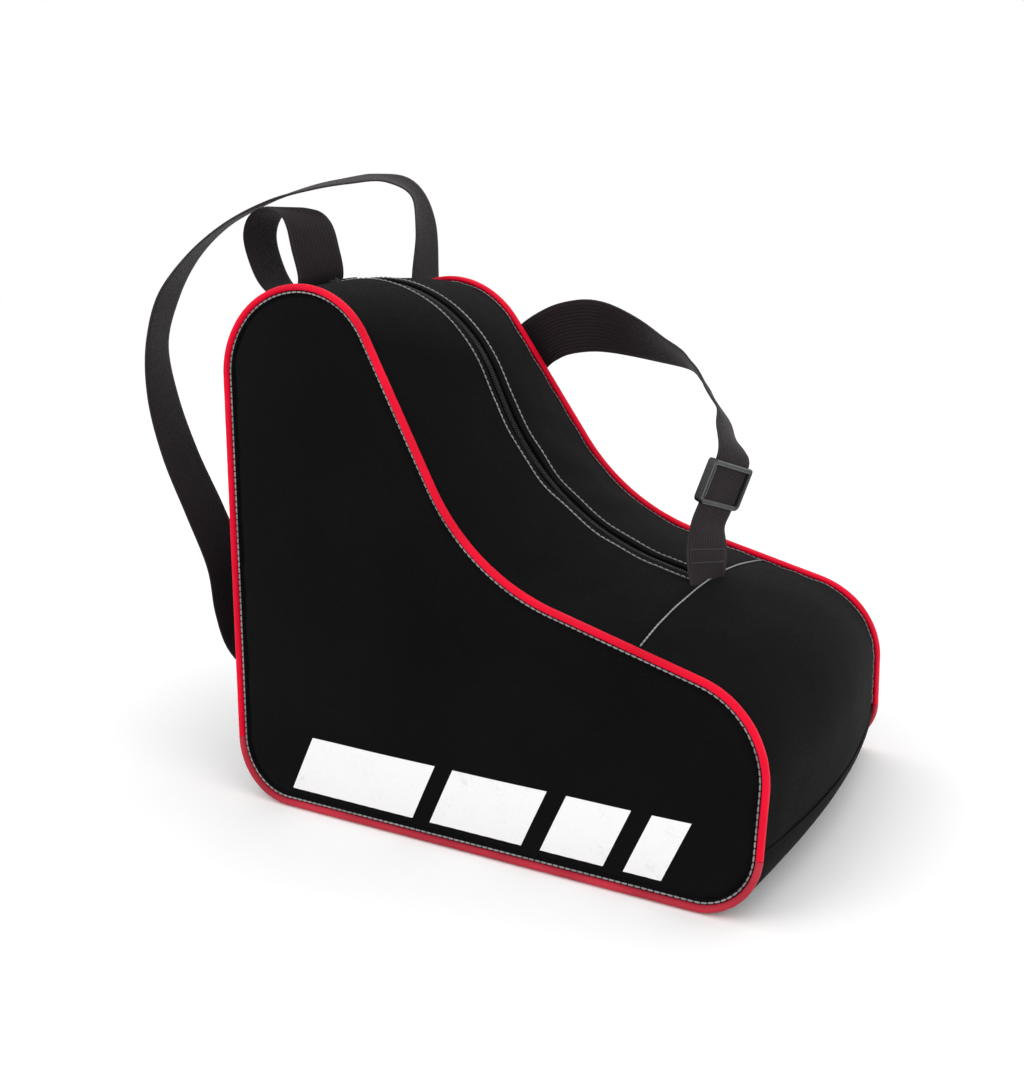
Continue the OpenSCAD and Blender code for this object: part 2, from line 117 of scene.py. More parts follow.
def cross_at(a, d, b, e):
    ca, sa = unit2(a)
    cb, sb = unit2(b)
    return np.array([d * sb - e * sa, e * ca - d * cb]) / math.sin(math.radians(b - a))


TOE_LOW_C, TOE_LOW_R = (162, 38), 38
HEEL_LOW_C, HEEL_LOW_R = (-128, 45), 45
TOE_TOP_C, TOE_TOP_R = np.array([140, 76.0]), 60
CREST_C, CREST_R = np.array([-140, 279.0]), 66
CORNER_R = 55
CORNER_C = polar(CREST_C, CREST_R - CORNER_R, CREST_A)
RIDE_C, RIDE_R = np.array([-147, 235.0]), 110
RIDE_A0, RIDE_A1 = 25, 112
RIDE_CORNER_R, RIDE_CORNER_A = 32, 140
RIDE_CORNER_C = polar(RIDE_C, RIDE_R - RIDE_CORNER_R, RIDE_A1)
THROAT_R = 150
RIDE_THROAT_R = 180
INSTEP_D = TOE_TOP_C @ unit2(INSTEP_A) + TOE_TOP_R
THROAT_C = cross_at(INSTEP_A, INSTEP_D + THROAT_R, SLOPE_A, CREST_C @ unit2(SLOPE_A) + CREST_R + THROAT_R)
RIDE_THROAT_C = cross_at(INSTEP_A, INSTEP_D + TOE_CROWN + RIDE_THROAT_R,
                         RIDE_A0, RIDE_C @ unit2(RIDE_A0) + RIDE_R + RIDE_THROAT_R)


def arc(c, r, a0, a1, grow0=0.0, grow1=0.0):
    return lambda u, off: polar(c, r + off + grow0 + (grow1 - grow0) * u, a0 + (a1 - a0) * u)


def hollow(c, r, a0, a1):
    return lambda u, off: polar(c, off - r, a0 + (a1 - a0) * u)


def at_seam(d):
    def point(u, off):
        return np.array([TOE_SEAM_X, (d + off - TOE_SEAM_X * unit2(INSTEP_A)[0]) / unit2(INSTEP_A)[1]])
    return point


def straight(a, b, start=1):
    """Straight line to the start of stretch b from the end of stretch a, or from a's own start."""
    return lambda u, off: a(start, off) * (1 - u) + b(0, off) * u


def joined(stretches):
    """Fills each None with the straight line between its neighbours; the last one closes the outline."""
    ahead = stretches[1:] + stretches[:1]
    return [f or straight(stretches[i - 1], ahead[i]) for i, f in enumerate(stretches)]


# Stretches of the outline: s = 0 toe corner, 1 toe front, 2 toe top, 3 to the toe seam, 4 to the throat,
# 5 throat, 6 slope, 7 crest, 8 corner to the top seam, 9 corner to the heel, 10 heel, 11 heel corner, 12 base
RIM = joined([arc(TOE_LOW_C, TOE_LOW_R, 270, 360), None, arc(TOE_TOP_C, TOE_TOP_R, 0, INSTEP_A), None,
              at_seam(INSTEP_D), hollow(THROAT_C, THROAT_R, INSTEP_A, SLOPE_A), None,
              arc(CREST_C, CREST_R, SLOPE_A, CREST_A), arc(CORNER_C, CORNER_R, CREST_A, CORNER_A),
              arc(CORNER_C, CORNER_R, CORNER_A, HEEL_A), None,
              arc(HEEL_LOW_C, HEEL_LOW_R, HEEL_A, 270), None])
# The ride is the wrap's middle line, which stands over the outline by the crown
RIDE = joined([arc(TOE_LOW_C, TOE_LOW_R, 270, 360, 0, TOE_CROWN), None,
               arc(TOE_TOP_C, TOE_TOP_R + TOE_CROWN, 0, INSTEP_A), None,
               at_seam(INSTEP_D + TOE_CROWN), hollow(RIDE_THROAT_C, RIDE_THROAT_R, INSTEP_A, RIDE_A0), None,
               arc(RIDE_C, RIDE_R, RIDE_A0, RIDE_A1),
               arc(RIDE_CORNER_C, RIDE_CORNER_R, RIDE_A1, RIDE_CORNER_A),
               arc(RIDE_CORNER_C, RIDE_CORNER_R, RIDE_CORNER_A, HEEL_A), None,
               arc(HEEL_LOW_C, HEEL_LOW_R, HEEL_A, 270, HEEL_CROWN, 0), None])
# The seam point is one station, so stretch 4 runs from it straight to the throat
for line in (RIM, RIDE):
    line[4] = straight(line[4], line[5], 0)
TOE_LOW_SEAM, TOE_SEAM, TOP_SEAM, HEEL_SEAM, ROUND = 1, 4, 9, 11, 13


def along(stretches, s, off):
    s = s % ROUND
    k = min(int(s), ROUND - 1)
    return stretches[k](s - k, off)


def rim(s, off):
    return along(RIM, s, off)


def stations(s0, s1, step):
    """Values of s from s0 to s1, about step apart along the outline."""
    out = [s0]
    cuts = [s0] + list(range(math.floor(s0) + 1, math.ceil(s1))) + [s1]
    for a, b in zip(cuts, cuts[1:]):
        fine = [rim(a + (b - a) * i / 24 - (1e-9 if i == 24 else 0), -EDGE_IN) for i in range(25)]
        length = sum(np.linalg.norm(q - p) for p, q in zip(fine, fine[1:]))
        n = max(1, round(length / step))
        out += [a + (b - a) * i / n for i in range(1, n + 1)]
    return out


def crown_share(s, v):
    """How far a point of the wrap lies from its edge towards its middle line, from 0 to 1."""
    s = s % ROUND
    c = 0.0 if s >= 12 else s if s < 1 else 12 - s if s > 11 else 1.0
    return c * (1 - v * v) + (1 - c) * min(1.0, (1 - abs(v)) / (1 - BASE_FLAT))


def wrap_half(s):
    return half_at(rim(s, -EDGE_IN)[1]) - SIDE_IN


def wrap(s, y, d=0.0):
    """Point of the wrap at station s and cross position y, d below the cloth."""
    v = max(-1.0, min(1.0, y / wrap_half(s)))
    a, b = rim(s, -EDGE_IN - d), along(RIDE, s, -d)
    p = a + (b - a) * crown_share(s, v)
    return np.array([p[0], y, p[1]])


def wrap_normal(s, y):
    e = 0.004
    t = wrap(s + e, y) - wrap(s - e, y)
    w = wrap(s, y + 0.5) - wrap(s, y - 0.5)
    n = np.cross(w, t)
    return n / (np.linalg.norm(n) or 1.0)


def smooth(x, a, b):
    t = max(0.0, min(1.0, (x - a) / (b - a)))
    return t * t * (3 - 2 * t)


def slack(s, y, p):
    """How far the cloth stands off its drawn surface: tucked in at its seams, with soft creases."""
    h = wrap_half(s)
    edge = h - abs(y)
    soft = noise.noise(Vector((p[0] * 0.016, p[1] * 0.016, p[2] * 0.016 + 7)))
    fine = noise.noise(Vector((p[0] * 0.05, p[1] * 0.05, p[2] * 0.05)))
    inside = smooth(edge, 2, 30)
    lift = inside * (1.3 * soft + 0.35 * fine)
    # creases across the hollow throat, deepest near the middle
    if 4.6 < s < 6.4:
        fold = math.exp(-((s - 5.5) / 0.42) ** 2)
        lift += inside * fold * 0.7 * math.sin(s * 21 + 1.2 * soft + 0.01 * abs(y))
    # puckers drawn in by the edge stitching
    lift += 0.28 * math.exp(-(edge / 7) ** 2) * math.sin(2 * math.pi * (p[0] * 0.8 + p[2]) / 11)
    return lift - 0.6 * math.exp(-((edge - 4.2) / 2.0) ** 2) + 0.8 * math.exp(-(edge / 1.6) ** 2)


def skin(s, y, d=0.0, still=False):
    p = wrap(s, y)
    n = wrap_normal(s, y)
    return p + n * ((0 if still else slack(s, y, p)) - d), n


# ---- materials
class Nodes:
    """A material's node tree, built in a few words."""

    def __init__(self, name):
        self.mat = bpy.data.materials.new(name)
        self.mat.use_nodes = True
        self.tree = self.mat.node_tree
        self.bsdf = self.tree.nodes["Principled BSDF"]

    def set(self, **values):
        for k, v in values.items():
            self.put(self.bsdf.inputs[k.replace("_", " ")], v)

    def put(self, socket, v):
        if isinstance(v, bpy.types.NodeSocket):
            self.tree.links.new(v, socket)
        elif isinstance(v, (tuple, list)) and len(v) == 3 and socket.type == "RGBA":
            socket.default_value = (*v, 1)
        else:
            socket.default_value = v

    def node(self, kind, out=0, props=None, **values):
        n = self.tree.nodes.new(kind)
        for k, v in (props or {}).items():
            setattr(n, k, v)
        for k, v in values.items():
            key = int(k[1:]) if k[0] == "i" and k[1:].isdigit() else k.replace("_", " ")
            self.put(n.inputs[key], v)
        return n.outputs[out]

    def math(self, op, a, b=0.0):
        return self.node("ShaderNodeMath", props={"operation": op}, i0=a, i1=b)

    def add(self, a, b):
        return self.math("ADD", a, b)

    def mul(self, a, b):
        return self.math("MULTIPLY", a, b)

    def ridges(self, value):
        """Rounded ridges, one for each whole step of value."""
        return self.math("ABSOLUTE", self.math("SINE", self.mul(value, math.pi)))

    def noise(self, vector, scale, detail=2.0, rough=0.5):
        return self.node("ShaderNodeTexNoise", Vector=vector, Scale=scale, Detail=detail, Roughness=rough)

    def ramp(self, value, a, b, low=0.0, high=1.0):
        return self.node("ShaderNodeMapRange", Value=value, From_Min=a, From_Max=b, To_Min=low, To_Max=high)

    def mix(self, share, a, b):
        n = self.tree.nodes.new("ShaderNodeMix")
        n.data_type = "RGBA"
        self.put(n.inputs[0], share)
        self.put(n.inputs[6], a)
        self.put(n.inputs[7], b)
        return n.outputs[2]

    def bump(self, height, distance, strength=1.0):
        return self.node("ShaderNodeBump", Height=height, Distance=distance, Strength=strength)

    def split(self, vector):
        sep = self.tree.nodes.new("ShaderNodeSeparateXYZ")
        self.put(sep.inputs[0], vector)
        return sep.outputs

    def worn(self):
        return self.node("ShaderNodeAttribute", out=2, props={"attribute_name": "wear"})

    def object_coords(self):
        return self.node("ShaderNodeTexCoord", out=3)

    def uv(self):
        return self.node("ShaderNodeTexCoord", out=2)


def weave(n, vector, pitch, swap=False):
    """Height of a plain weave of that pitch, in metres, from the vector's X and Y (or X and Z)."""
    sep = n.split(vector)
    cx, cy = n.mul(sep[0], 1 / pitch), n.mul(sep[2 if swap else 1], 1 / pitch)
    odd = n.math("FLOORED_MODULO", n.add(n.math("FLOOR", cx), n.math("FLOOR", cy)), 2.0)
    return n.add(n.mul(n.ridges(cx), odd), n.mul(n.ridges(cy), n.math("SUBTRACT", 1.0, odd)))


def cloth_material(name, colour, pitch, uv=True, swap=False):
    n = Nodes(name)
    place = n.object_coords()
    threads = weave(n, n.uv() if uv else place, pitch, swap)
    cloudy = n.noise(place, 9.0, 4.0)
    slubs = n.noise(place, 420.0)
    light = tuple(min(1.0, c * 2.4 + 0.003) for c in colour)
    share = n.add(n.ramp(cloudy, 0.35, 0.75, 0, 0.3), n.mul(n.worn(), 0.55))
    share = n.mul(share, n.ramp(threads, 0.0, 1.0, 0.35, 1.0))
    n.set(Base_Color=n.mix(share, colour, light), Roughness=n.ramp(slubs, 0.3, 0.7, 0.82, 0.94),
          Normal=n.bump(n.add(threads, n.mul(slubs, 0.5)), pitch * 0.22, 0.5),
          Specular_IOR_Level=0.04, Sheen_Weight=0.02, Sheen_Roughness=0.5)
    return n.mat


def webbing_material(name, colour, rib_pitch=0.0026, tick_pitch=0.0015):
    """Ribbed webbing: U runs across it and V along it, in metres."""
    n = Nodes(name)
    sep = n.split(n.uv())
    rib = n.mul(sep[0], 1 / rib_pitch)
    ticks = n.add(n.mul(sep[1], 1 / tick_pitch), n.mul(n.math("PINGPONG", rib, 1.0), 0.8))
    height = n.add(n.ridges(rib), n.mul(n.ridges(ticks), 0.55))
    place = n.object_coords()
    cloudy = n.noise(place, 14.0, 4.0)
    fuzz = n.noise(place, 600.0, 1.0)
    light = tuple(c * 2.2 + 0.012 for c in colour)
    # The darker copy fills the low places between the ribs: painted shade in the grooves.
    dark = tuple(c * 0.45 for c in colour)
    share = n.add(n.ramp(cloudy, 0.35, 0.7, 0.0, 0.35), n.mul(n.worn(), 0.5))
    n.set(Base_Color=n.mix(n.ramp(height, 0.25, 1.1), dark, n.mix(share, colour, light)),
          Roughness=n.ramp(fuzz, 0.3, 0.7, 0.6, 0.78), Normal=n.bump(height, 0.00022, 0.5),
          Specular_IOR_Level=0.13, Sheen_Weight=0.03)
    return n.mat


def covered_cord_material(name, colour, dark):
    n = Nodes(name)
    place = n.object_coords()
    cloudy = n.noise(place, 30.0, 3.0)
    share = n.math("MAXIMUM", n.ramp(cloudy, 0.45, 0.8, 0.0, 0.5), n.mul(n.worn(), 0.7))
    n.set(Base_Color=n.mix(share, colour, dark), Roughness=n.ramp(cloudy, 0.3, 0.7, 0.42, 0.58),
          Normal=n.bump(n.noise(place, 900.0), 0.0001, 0.35),
          Specular_IOR_Level=0.1, Coat_Weight=0.02, Coat_Roughness=0.4)
    return n.mat


def moulded_material(name, colour, rough=0.42, grain_scale=1500.0, metallic=0.0):
    n = Nodes(name)
    place = n.object_coords()
    scuff = n.noise(place, 160.0, 5.0, 0.65)
    light = tuple(min(1.0, c * 2.5 + 0.03) for c in colour)
    n.set(Base_Color=n.mix(n.ramp(scuff, 0.58, 0.72, 0.0, 0.5), colour, light),
          Roughness=n.ramp(scuff, 0.3, 0.7, rough - 0.08, rough + 0.15),
          Normal=n.bump(n.noise(place, grain_scale), 0.00012, 0.3), Metallic=metallic)
    return n.mat


def thread_material(name, colour):
    n = Nodes(name)
    place = n.object_coords()
    twist = n.noise(place, 1800.0, 1.0)
    tint = n.noise(place, 40.0)
    dark = tuple(c * 0.6 for c in colour)
    n.set(Base_Color=n.mix(n.ramp(tint, 0.4, 0.7), colour, dark), Roughness=n.ramp(twist, 0.3, 0.7, 0.5, 0.7),
          Normal=n.bump(twist, 0.0002, 0.6), Sheen_Weight=0.2)
    return n.mat


def print_material(name):
    """White ink on cloth: it lies on the threads, with small cracks and rubbed spots."""
    n = Nodes(name)
    place = n.object_coords()
    threads = weave(n, place, CLOTH_PITCH, True)
    cracks = n.node("ShaderNodeTexVoronoi", props={"feature": "DISTANCE_TO_EDGE"}, Vector=place, Scale=260.0)
    rub = n.noise(place, 70.0, 5.0, 0.6)
    line = n.mul(n.ramp(cracks, 0.0, 0.035, 1.0, 0.0), n.ramp(rub, 0.5, 0.62, 0.0, 0.22))
    share = n.math("MAXIMUM", line, n.ramp(rub, 0.66, 0.75, 0.0, 0.2))
    n.set(Base_Color=n.mix(share, (0.86, 0.86, 0.86), (0.3, 0.3, 0.31)),
          Roughness=n.ramp(rub, 0.3, 0.7, 0.5, 0.65), Normal=n.bump(threads, 0.00018, 0.35))
    return n.mat


CLOTH_PITCH = 0.0011
BLACK = (0.0025, 0.0025, 0.0028)
CLOTH = cloth_material("shell_cloth", BLACK, CLOTH_PITCH)
CLOTH_SIDE = cloth_material("shell_cloth_side", BLACK, CLOTH_PITCH, uv=False, swap=True)
LINING = cloth_material("lining_cloth", (0.05, 0.05, 0.055), 0.0007, uv=False)
FOAM = moulded_material("padding_foam", (0.2, 0.2, 0.21), 0.9, 500.0)
BOARD = moulded_material("stiff_board", (0.06, 0.06, 0.065), 0.6)
TAPE = cloth_material("zip_tape", (0.003, 0.003, 0.0033), 0.0008)
BINDING = cloth_material("binding_tape", (0.008, 0.008, 0.009), 0.0008, uv=False)
WEBBING = webbing_material("webbing", (0.0165, 0.0115, 0.0135))
RED = covered_cord_material("piping_bright", (0.79, 0.0006, 0.026), (0.48, 0.0, 0.015))
# Darker, duller copy of the piping red for its base run along the floor: painted shade.
SHADED_RED = covered_cord_material("piping_deep", (0.50, 0.028, 0.050), (0.2, 0.012, 0.02))
COIL = moulded_material("zip_coil", (0.008, 0.008, 0.009), 0.4)
HARDWARE = moulded_material("zip_hardware", (0.015, 0.015, 0.017), 0.35, 900.0, 0.6)
METAL = moulded_material("zip_metal", (0.12, 0.12, 0.125), 0.35, 900.0, 0.9)
PLASTIC = moulded_material("adjuster_plastic", (0.0075, 0.0095, 0.009), 0.36)
# Light grey of the thin beads along the slide's edges: painted highlight.
EDGE_HIGHLIGHT = moulded_material("adjuster_painted_highlight", (0.16, 0.165, 0.165), 0.4)
THREAD = thread_material("stitch_thread", (0.29, 0.29, 0.29))
BLACK_THREAD = thread_material("black_thread", (0.02, 0.018, 0.019))
PRINT = print_material("printed_mark")


# ---- mesh helpers
def add_mesh(name, points, faces, material, body, slot, replaces=(), uvs=None, wear=None, sharp=35):
    mesh = bpy.data.meshes.new(name)
    mesh.from_pydata([tuple(p) for p in np.asarray(points, float) * MM], [], [tuple(f) for f in faces])
    mesh.validate()
    if uvs is not None:
        layer = mesh.uv_layers.new(name="UVMap")
        index = np.empty(len(mesh.loops), np.int32)
        mesh.loops.foreach_get("vertex_index", index)
        layer.data.foreach_set("uv", (np.asarray(uvs, float) * MM)[index].astype(np.float32).ravel())
    if wear is not None:
        set_wear(mesh, wear)
    obj = link(name, mesh)
    finish_piece(obj, material, body, replaces, sharp)
    return obj


def set_wear(mesh, wear):
    """How worn the material is at each point, from 0 to 1."""
    mesh.attributes.new("wear", "FLOAT", "POINT").data.foreach_set("value", np.asarray(wear, np.float32))


def finish_piece(obj, material, body, replaces, sharp):
    mesh = obj.data
    mesh.materials.clear()
    mesh.materials.append(material)
    bm = bmesh.new()
    bm.from_mesh(mesh)
    bmesh.ops.recalc_face_normals(bm, faces=bm.faces)
    bm.to_mesh(mesh)
    bm.free()
    mesh.shade_smooth()
    mesh.set_sharp_from_angle(angle=math.radians(sharp))
    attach(obj, body)
    if replaces:
        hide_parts(*replaces)


def flat_list(rows):
    return [item for row in rows for item in row]


def shell(outer, inner):
    """Closed mesh between two grids of points."""
    rows, cols = len(outer), len(outer[0])
    n = rows * cols

    def q(i, j):
        return i * cols + j

    faces = [(q(i, j), q(i, j + 1), q(i + 1, j + 1), q(i + 1, j))
             for i in range(rows - 1) for j in range(cols - 1)]
    faces += [(n + a, n + d, n + c, n + b) for a, b, c, d in faces]
    for i in range(rows - 1):
        for j in (0, cols - 1):
            faces.append((q(i, j), q(i + 1, j), n + q(i + 1, j), n + q(i, j)))
    for j in range(cols - 1):
        for i in (0, rows - 1):
            faces.append((q(i, j), n + q(i, j), n + q(i, j + 1), q(i, j + 1)))
    return flat_list(outer) + flat_list(inner), faces


def skinned_tube(rings, looped=False):
    """Skin over rings of points, with capped ends or looped back to the first ring."""
    m, n = len(rings[0]), len(rings)
    faces = [(i * m + j, i * m + (j + 1) % m, (i + 1) % n * m + (j + 1) % m, (i + 1) % n * m + j)
             for i in range(n if looped else n - 1) for j in range(m)]
    if not looped:
        faces += [tuple(range(m))[::-1], tuple((n - 1) * m + j for j in range(m))]
    return flat_list(rings), faces


def merged(meshes):
    """One list of points and one of faces from many such pairs."""
    points, faces = [], []
    for more_points, more_faces in meshes:
        faces += [tuple(len(points) + i for i in f) for f in more_faces]
        points += more_points
    return points, faces


def run_along(path):
    """Distance along a path to each of its points."""
    return np.concatenate([[0], np.cumsum(np.linalg.norm(np.diff(path, axis=0), axis=1))])


def tangents(path):
    p = np.asarray(path, float)
    t = np.empty_like(p)
    t[1:-1] = p[2:] - p[:-2]
    t[0], t[-1] = p[1] - p[0], p[-1] - p[-2]
    return t / np.linalg.norm(t, axis=1)[:, None]


def tube(path, radius, sides, across, wide=1.0):
    """Tube along path; across is a direction that is never along it, and the tube is wide times wider
    that way. radius is one number or many."""
    path, across = np.asarray(path, float), np.asarray(across, float)
    turn = np.linspace(0, 2 * math.pi, sides, endpoint=False)
    rings = []
    for p, d, r in zip(path, tangents(path), np.broadcast_to(radius, (len(path),))):
        w = unit(across - (across @ d) * d)
        k = np.cross(d, w)
        rings.append([p + r * (wide * math.cos(a) * w + math.sin(a) * k) for a in turn])
    return skinned_tube(rings)


def spaced(path, gap):
    """Points every gap along a path, with the path's direction there."""
    path = np.asarray(path, float)
    run = run_along(path)
    n = max(1, int(run[-1] / gap))
    at = (np.arange(n) + 0.5) * run[-1] / n

    def point_at(places):
        return np.stack([np.interp(places, run, path[:, k]) for k in range(3)], 1)

    d = point_at(np.minimum(at + 0.5, run[-1])) - point_at(np.maximum(at - 0.5, 0))
    return point_at(at), d / np.linalg.norm(d, axis=1)[:, None]


# Along a stitch: place in its length, thickness and rise, both in radii
STITCH_PROFILE = ((-0.5, 0.35, -0.45), (-0.36, 0.85, 0.05), (0.0, 1.0, 0.25), (0.36, 0.85, 0.05),
                  (0.5, 0.35, -0.45))
STITCH_TURN = [2 * math.pi * k / 6 for k in range(6)]


def stitch_mesh(rows, pitch=4.1, length=3.8, radius=0.6):
    """Rows of stitches. Each row is (path, normals or one normal); a stitch dips at both ends."""
    made = []
    for path, normal in rows:
        for p, d in zip(*spaced(path, pitch)):
            n = normal(p) if callable(normal) else np.asarray(normal, float)
            n = unit(n - (n @ d) * d)
            w = np.cross(d, n)
            ring = [math.cos(g) * w + 0.8 * math.sin(g) * n for g in STITCH_TURN]
            made.append(skinned_tube([[p + d * a * length + n * up * radius + size * radius * r for r in ring]
                                      for a, size, up in STITCH_PROFILE]))
    return merged(made)


def add_stitches(name, rows, material=THREAD, body="bag", slot="shell_cloth", **size):
    add_mesh(name, *stitch_mesh(rows, **size), material, body, slot)


def add_sheet(name, outer, inner, uv, wear, material, slot, replaces):
    """Thick sheet between two grids; both faces take the flat cut uv."""
    obj = add_mesh(name, *shell(outer, inner), material, "bag", slot, replaces,
                   flat_list(uv) * 2, flat_list(wear) * 2)


# ---- wrap panels
def wrap_panel(name, s0, s1, columns, replaces, still=False):
    """Panel of the wrap. columns(h) gives the cross positions for a half width h, as (y, depth) pairs."""
    svals = stations(s0, s1, 4.0)
    svals[0] += 1e-4
    svals[-1] -= 1e-4
    outer, inner, drawn, uv, wear = [], [], [], [], []
    for s, run in zip(svals, run_along([wrap(s, 0) for s in svals])):
        h = wrap_half(s)
        end = min(abs(s - s0), abs(s - s1))
        tuck = 0.0 if still else 0.9 * math.exp(-(end * 15) ** 2)
        back = CLOTH_T + (0 if still else 0.2)
        row = columns(h)
        outer.append([skin(s, y, depth + tuck, still)[0] for y, depth in row])
        inner.append([skin(s, y, back + tuck, still)[0] for y, depth in row])
        drawn.append([wrap(s, y) for y, depth in row])
        uv.append([(y, run) for y, depth in row])
        wear.append([math.exp(-(h - abs(y)) / 9) * 0.8 + 0.25 * math.exp(-end * 12) for y, depth in row])
    add_sheet(name, outer, inner, uv, wear, CLOTH, "shell_cloth", replaces)


def full_width(count):
    return lambda h: [(h * math.sin(math.pi / 2 * k), 0.0) for k in np.linspace(-1, 1, count)]


def half_width(side):
    """From the folded edge beside the zip out to the side seam."""
    def columns(h):
        fold = ((0.9, CLOTH_T - 0.1), (0.15, 1.5), (0.0, 0.8), (0.5, 0.2), (1.6, 0.0))
        rest = h - ZIP_GAP - 1.6
        flat = [(h - rest * (1 - math.sin(math.pi / 2 * k)), 0.0) for k in np.linspace(0, 1, 26)[1:]]
        return [(side * y, depth) for y, depth in [(ZIP_GAP + y, depth) for y, depth in fold] + flat]
    return columns


for side, word in SIDES:
    wrap_panel(f"cover_gusset_{word}", TOE_SEAM, TOP_SEAM, half_width(side), [f"gusset_{word}"])
wrap_panel("cover_toe", TOE_LOW_SEAM, TOE_SEAM, full_width(47), ["toe_panel"])
wrap_panel("cover_heel", TOP_SEAM, HEEL_SEAM, full_width(41), ["heel_panel"])
wrap_panel("cover_base", HEEL_SEAM, ROUND + TOE_LOW_SEAM, full_width(47), ["base_panel"], still=True)


# ---- padded side panels
PANEL_IN = 3.6
PAD_DEEP = 9.0
VOXEL = 0.005


def side_point(side, x, z, d):
    """Point d inside a side panel's outer plane."""
    return np.array([x, side * (half_at(z) - d), z])


def panel_edge(step):
    return [rim(s, -PANEL_IN) for s in stations(0, ROUND, step)[:-1]]


def pad_mesh(side, name):
    """Flat closed pad in the shape of the side panel, ready to be blown up."""
    points = [side_point(side, x, z, SIDE_IN + d) for d in (0.2, PAD_DEEP) for x, z in panel_edge(5.0)]
    n = len(points) // 2
    faces = [tuple(range(n)), tuple(range(2 * n - 1, n - 1, -1))]
    faces += [(i, n + i, n + (i + 1) % n, (i + 1) % n) for i in range(n)]
    mesh = bpy.data.meshes.new(name)
    mesh.from_pydata([tuple(p * MM) for p in points], [], faces)
    obj = link(name, mesh)
    bpy.context.view_layer.objects.active = obj
    remesh = obj.modifiers.new("remesh", "REMESH")
    remesh.mode = "VOXEL"
    remesh.voxel_size = VOXEL
    bake_modifiers(obj)
    return obj


def bake_modifiers(obj):
    bpy.context.view_layer.update()
    mesh = bpy.data.meshes.new_from_object(obj.evaluated_get(bpy.context.evaluated_depsgraph_get()))
    old = obj.data
    obj.modifiers.clear()
    obj.data = mesh
    bpy.data.meshes.remove(old)


def vertex_array(mesh):
    co = np.empty(len(mesh.vertices) * 3)
    mesh.vertices.foreach_get("co", co)
    return co.reshape(-1, 3)


def inflate(obj, pinned, pressure, cap, frames=20):
    """Runs the cloth with pressure inside and its pinned points held, then caps how far it went."""
    start = vertex_array(obj.data)
    obj.vertex_groups.new(name="held").add([int(i) for i in np.nonzero(pinned)[0]], 1.0, "REPLACE")
    cloth = obj.modifiers.new("cloth", "CLOTH")
    cloth.settings.vertex_group_mass = "held"
    cloth.settings.use_pressure = True
    cloth.settings.uniform_pressure_force = pressure
    cloth.settings.effector_weights.gravity = 0
    cloth.settings.tension_stiffness = 30
    cloth.settings.compression_stiffness = 30
    cloth.settings.bending_stiffness = 2
    cloth.settings.mass = 0.3
    cloth.settings.quality = 4
    cloth.collision_settings.use_collision = False
    cloth.point_cache.frame_start = 1
    cloth.point_cache.frame_end = frames
    scene = bpy.context.scene
    for f in range(1, frames + 1):
        scene.frame_set(f)
    bake_modifiers(obj)
    scene.frame_set(1)
    moved = vertex_array(obj.data) - start
    far = np.linalg.norm(moved, axis=1)
    moved *= np.minimum(1.0, cap / np.maximum(far, 1e-9))[:, None]
    obj.data.vertices.foreach_set("co", (start + moved).ravel())
    obj.data.update()


def edge_gap(co, outline, batch=4000):
    """Distance of each point from the panel's edge, seen from the side."""
    return np.concatenate([np.linalg.norm(co[i:i + batch, None, [0, 2]] - outline, axis=2).min(axis=1)
                           for i in range(0, len(co), batch)])


def side_cover(side, name, replaces):
    """Padded side panel: blown up, subdivided and then given its seam, puckers and soft hollows."""
    obj = pad_mesh(side, name)
    outline = np.array(panel_edge(2.0))
    co = vertex_array(obj.data) / MM
    depth = half_at(co[:, 2]) - side * co[:, 1]
    inflate(obj, (depth > SIDE_IN + 3) | (edge_gap(co, outline) < 6), pressure=4.0, cap=0.0045)
    subdivide = obj.modifiers.new("subdivide", "SUBSURF")
    subdivide.levels = 1
    subdivide.render_levels = 1
    bake_modifiers(obj)
    co = vertex_array(obj.data) / MM
    gap = edge_gap(co, outline)
    depth = half_at(co[:, 2]) - side * co[:, 1]
    soft = np.array([noise.noise(Vector((p[0] * 0.014, side * 3, p[2] * 0.014))) for p in co])
    pucker = np.sin(2 * math.pi * (co[:, 0] + 0.7 * co[:, 2]) / 9.5)
    ease = np.clip((gap - 3) / 40, 0, 1)
    crown = 1.6 * np.clip(gap / 90, 0, 1) ** 0.6
    seam = 0.9 * np.exp(-((gap - 3.2) / 1.6) ** 2)
    lift = ease * 1.1 * soft + 0.22 * pucker * np.exp(-((gap - 7) / 5) ** 2) + crown - seam
    # the inner face is drawn up to the cloth's thickness
    depth = np.where(depth > SIDE_IN + 4.5, SIDE_IN + CLOTH_T - 0.1,
                     np.minimum(depth - lift, SIDE_IN + CLOTH_T - 0.4))
    co[:, 1] = side * (half_at(co[:, 2]) - depth)
    obj.data.vertices.foreach_set("co", (co * MM).ravel())
    set_wear(obj.data, 0.9 * np.exp(-gap / 8))
    obj.data.update()
    finish_piece(obj, CLOTH_SIDE, "bag", replaces, 80)
    return obj


side_left = side_cover(-1, "cover_side_left", ["side_panel_left"])
side_cover(1, "cover_side_right", ["side_panel_right"])


def surface_of(obj):
    bm = bmesh.new()
    bm.from_mesh(obj.data)
    tree = BVHTree.FromBMesh(bm)
    bm.free()
    return tree


PRINTED_FACE = surface_of(side_left)


def on_print(x, z, up):
    """Point up above the outside of the left side panel, in millimetres."""
    hit, normal, _, _ = PRINTED_FACE.ray_cast(Vector((x * MM, -0.3, z * MM)), Vector((0, 1, 0)))
    n = np.array(normal)
    return np.array(hit) / MM + (n if n[1] < 0 else -n) * up


# ---- piping
def side_path(side, inset, depth, s0=0, s1=ROUND, step=2.5):
    """Line round a side panel, inset from its outline and depth inside its outer plane."""
    return np.array([side_point(side, *rim(s, -inset), depth) for s in stations(s0, s1, step)])


PIPING_SIDES = 14


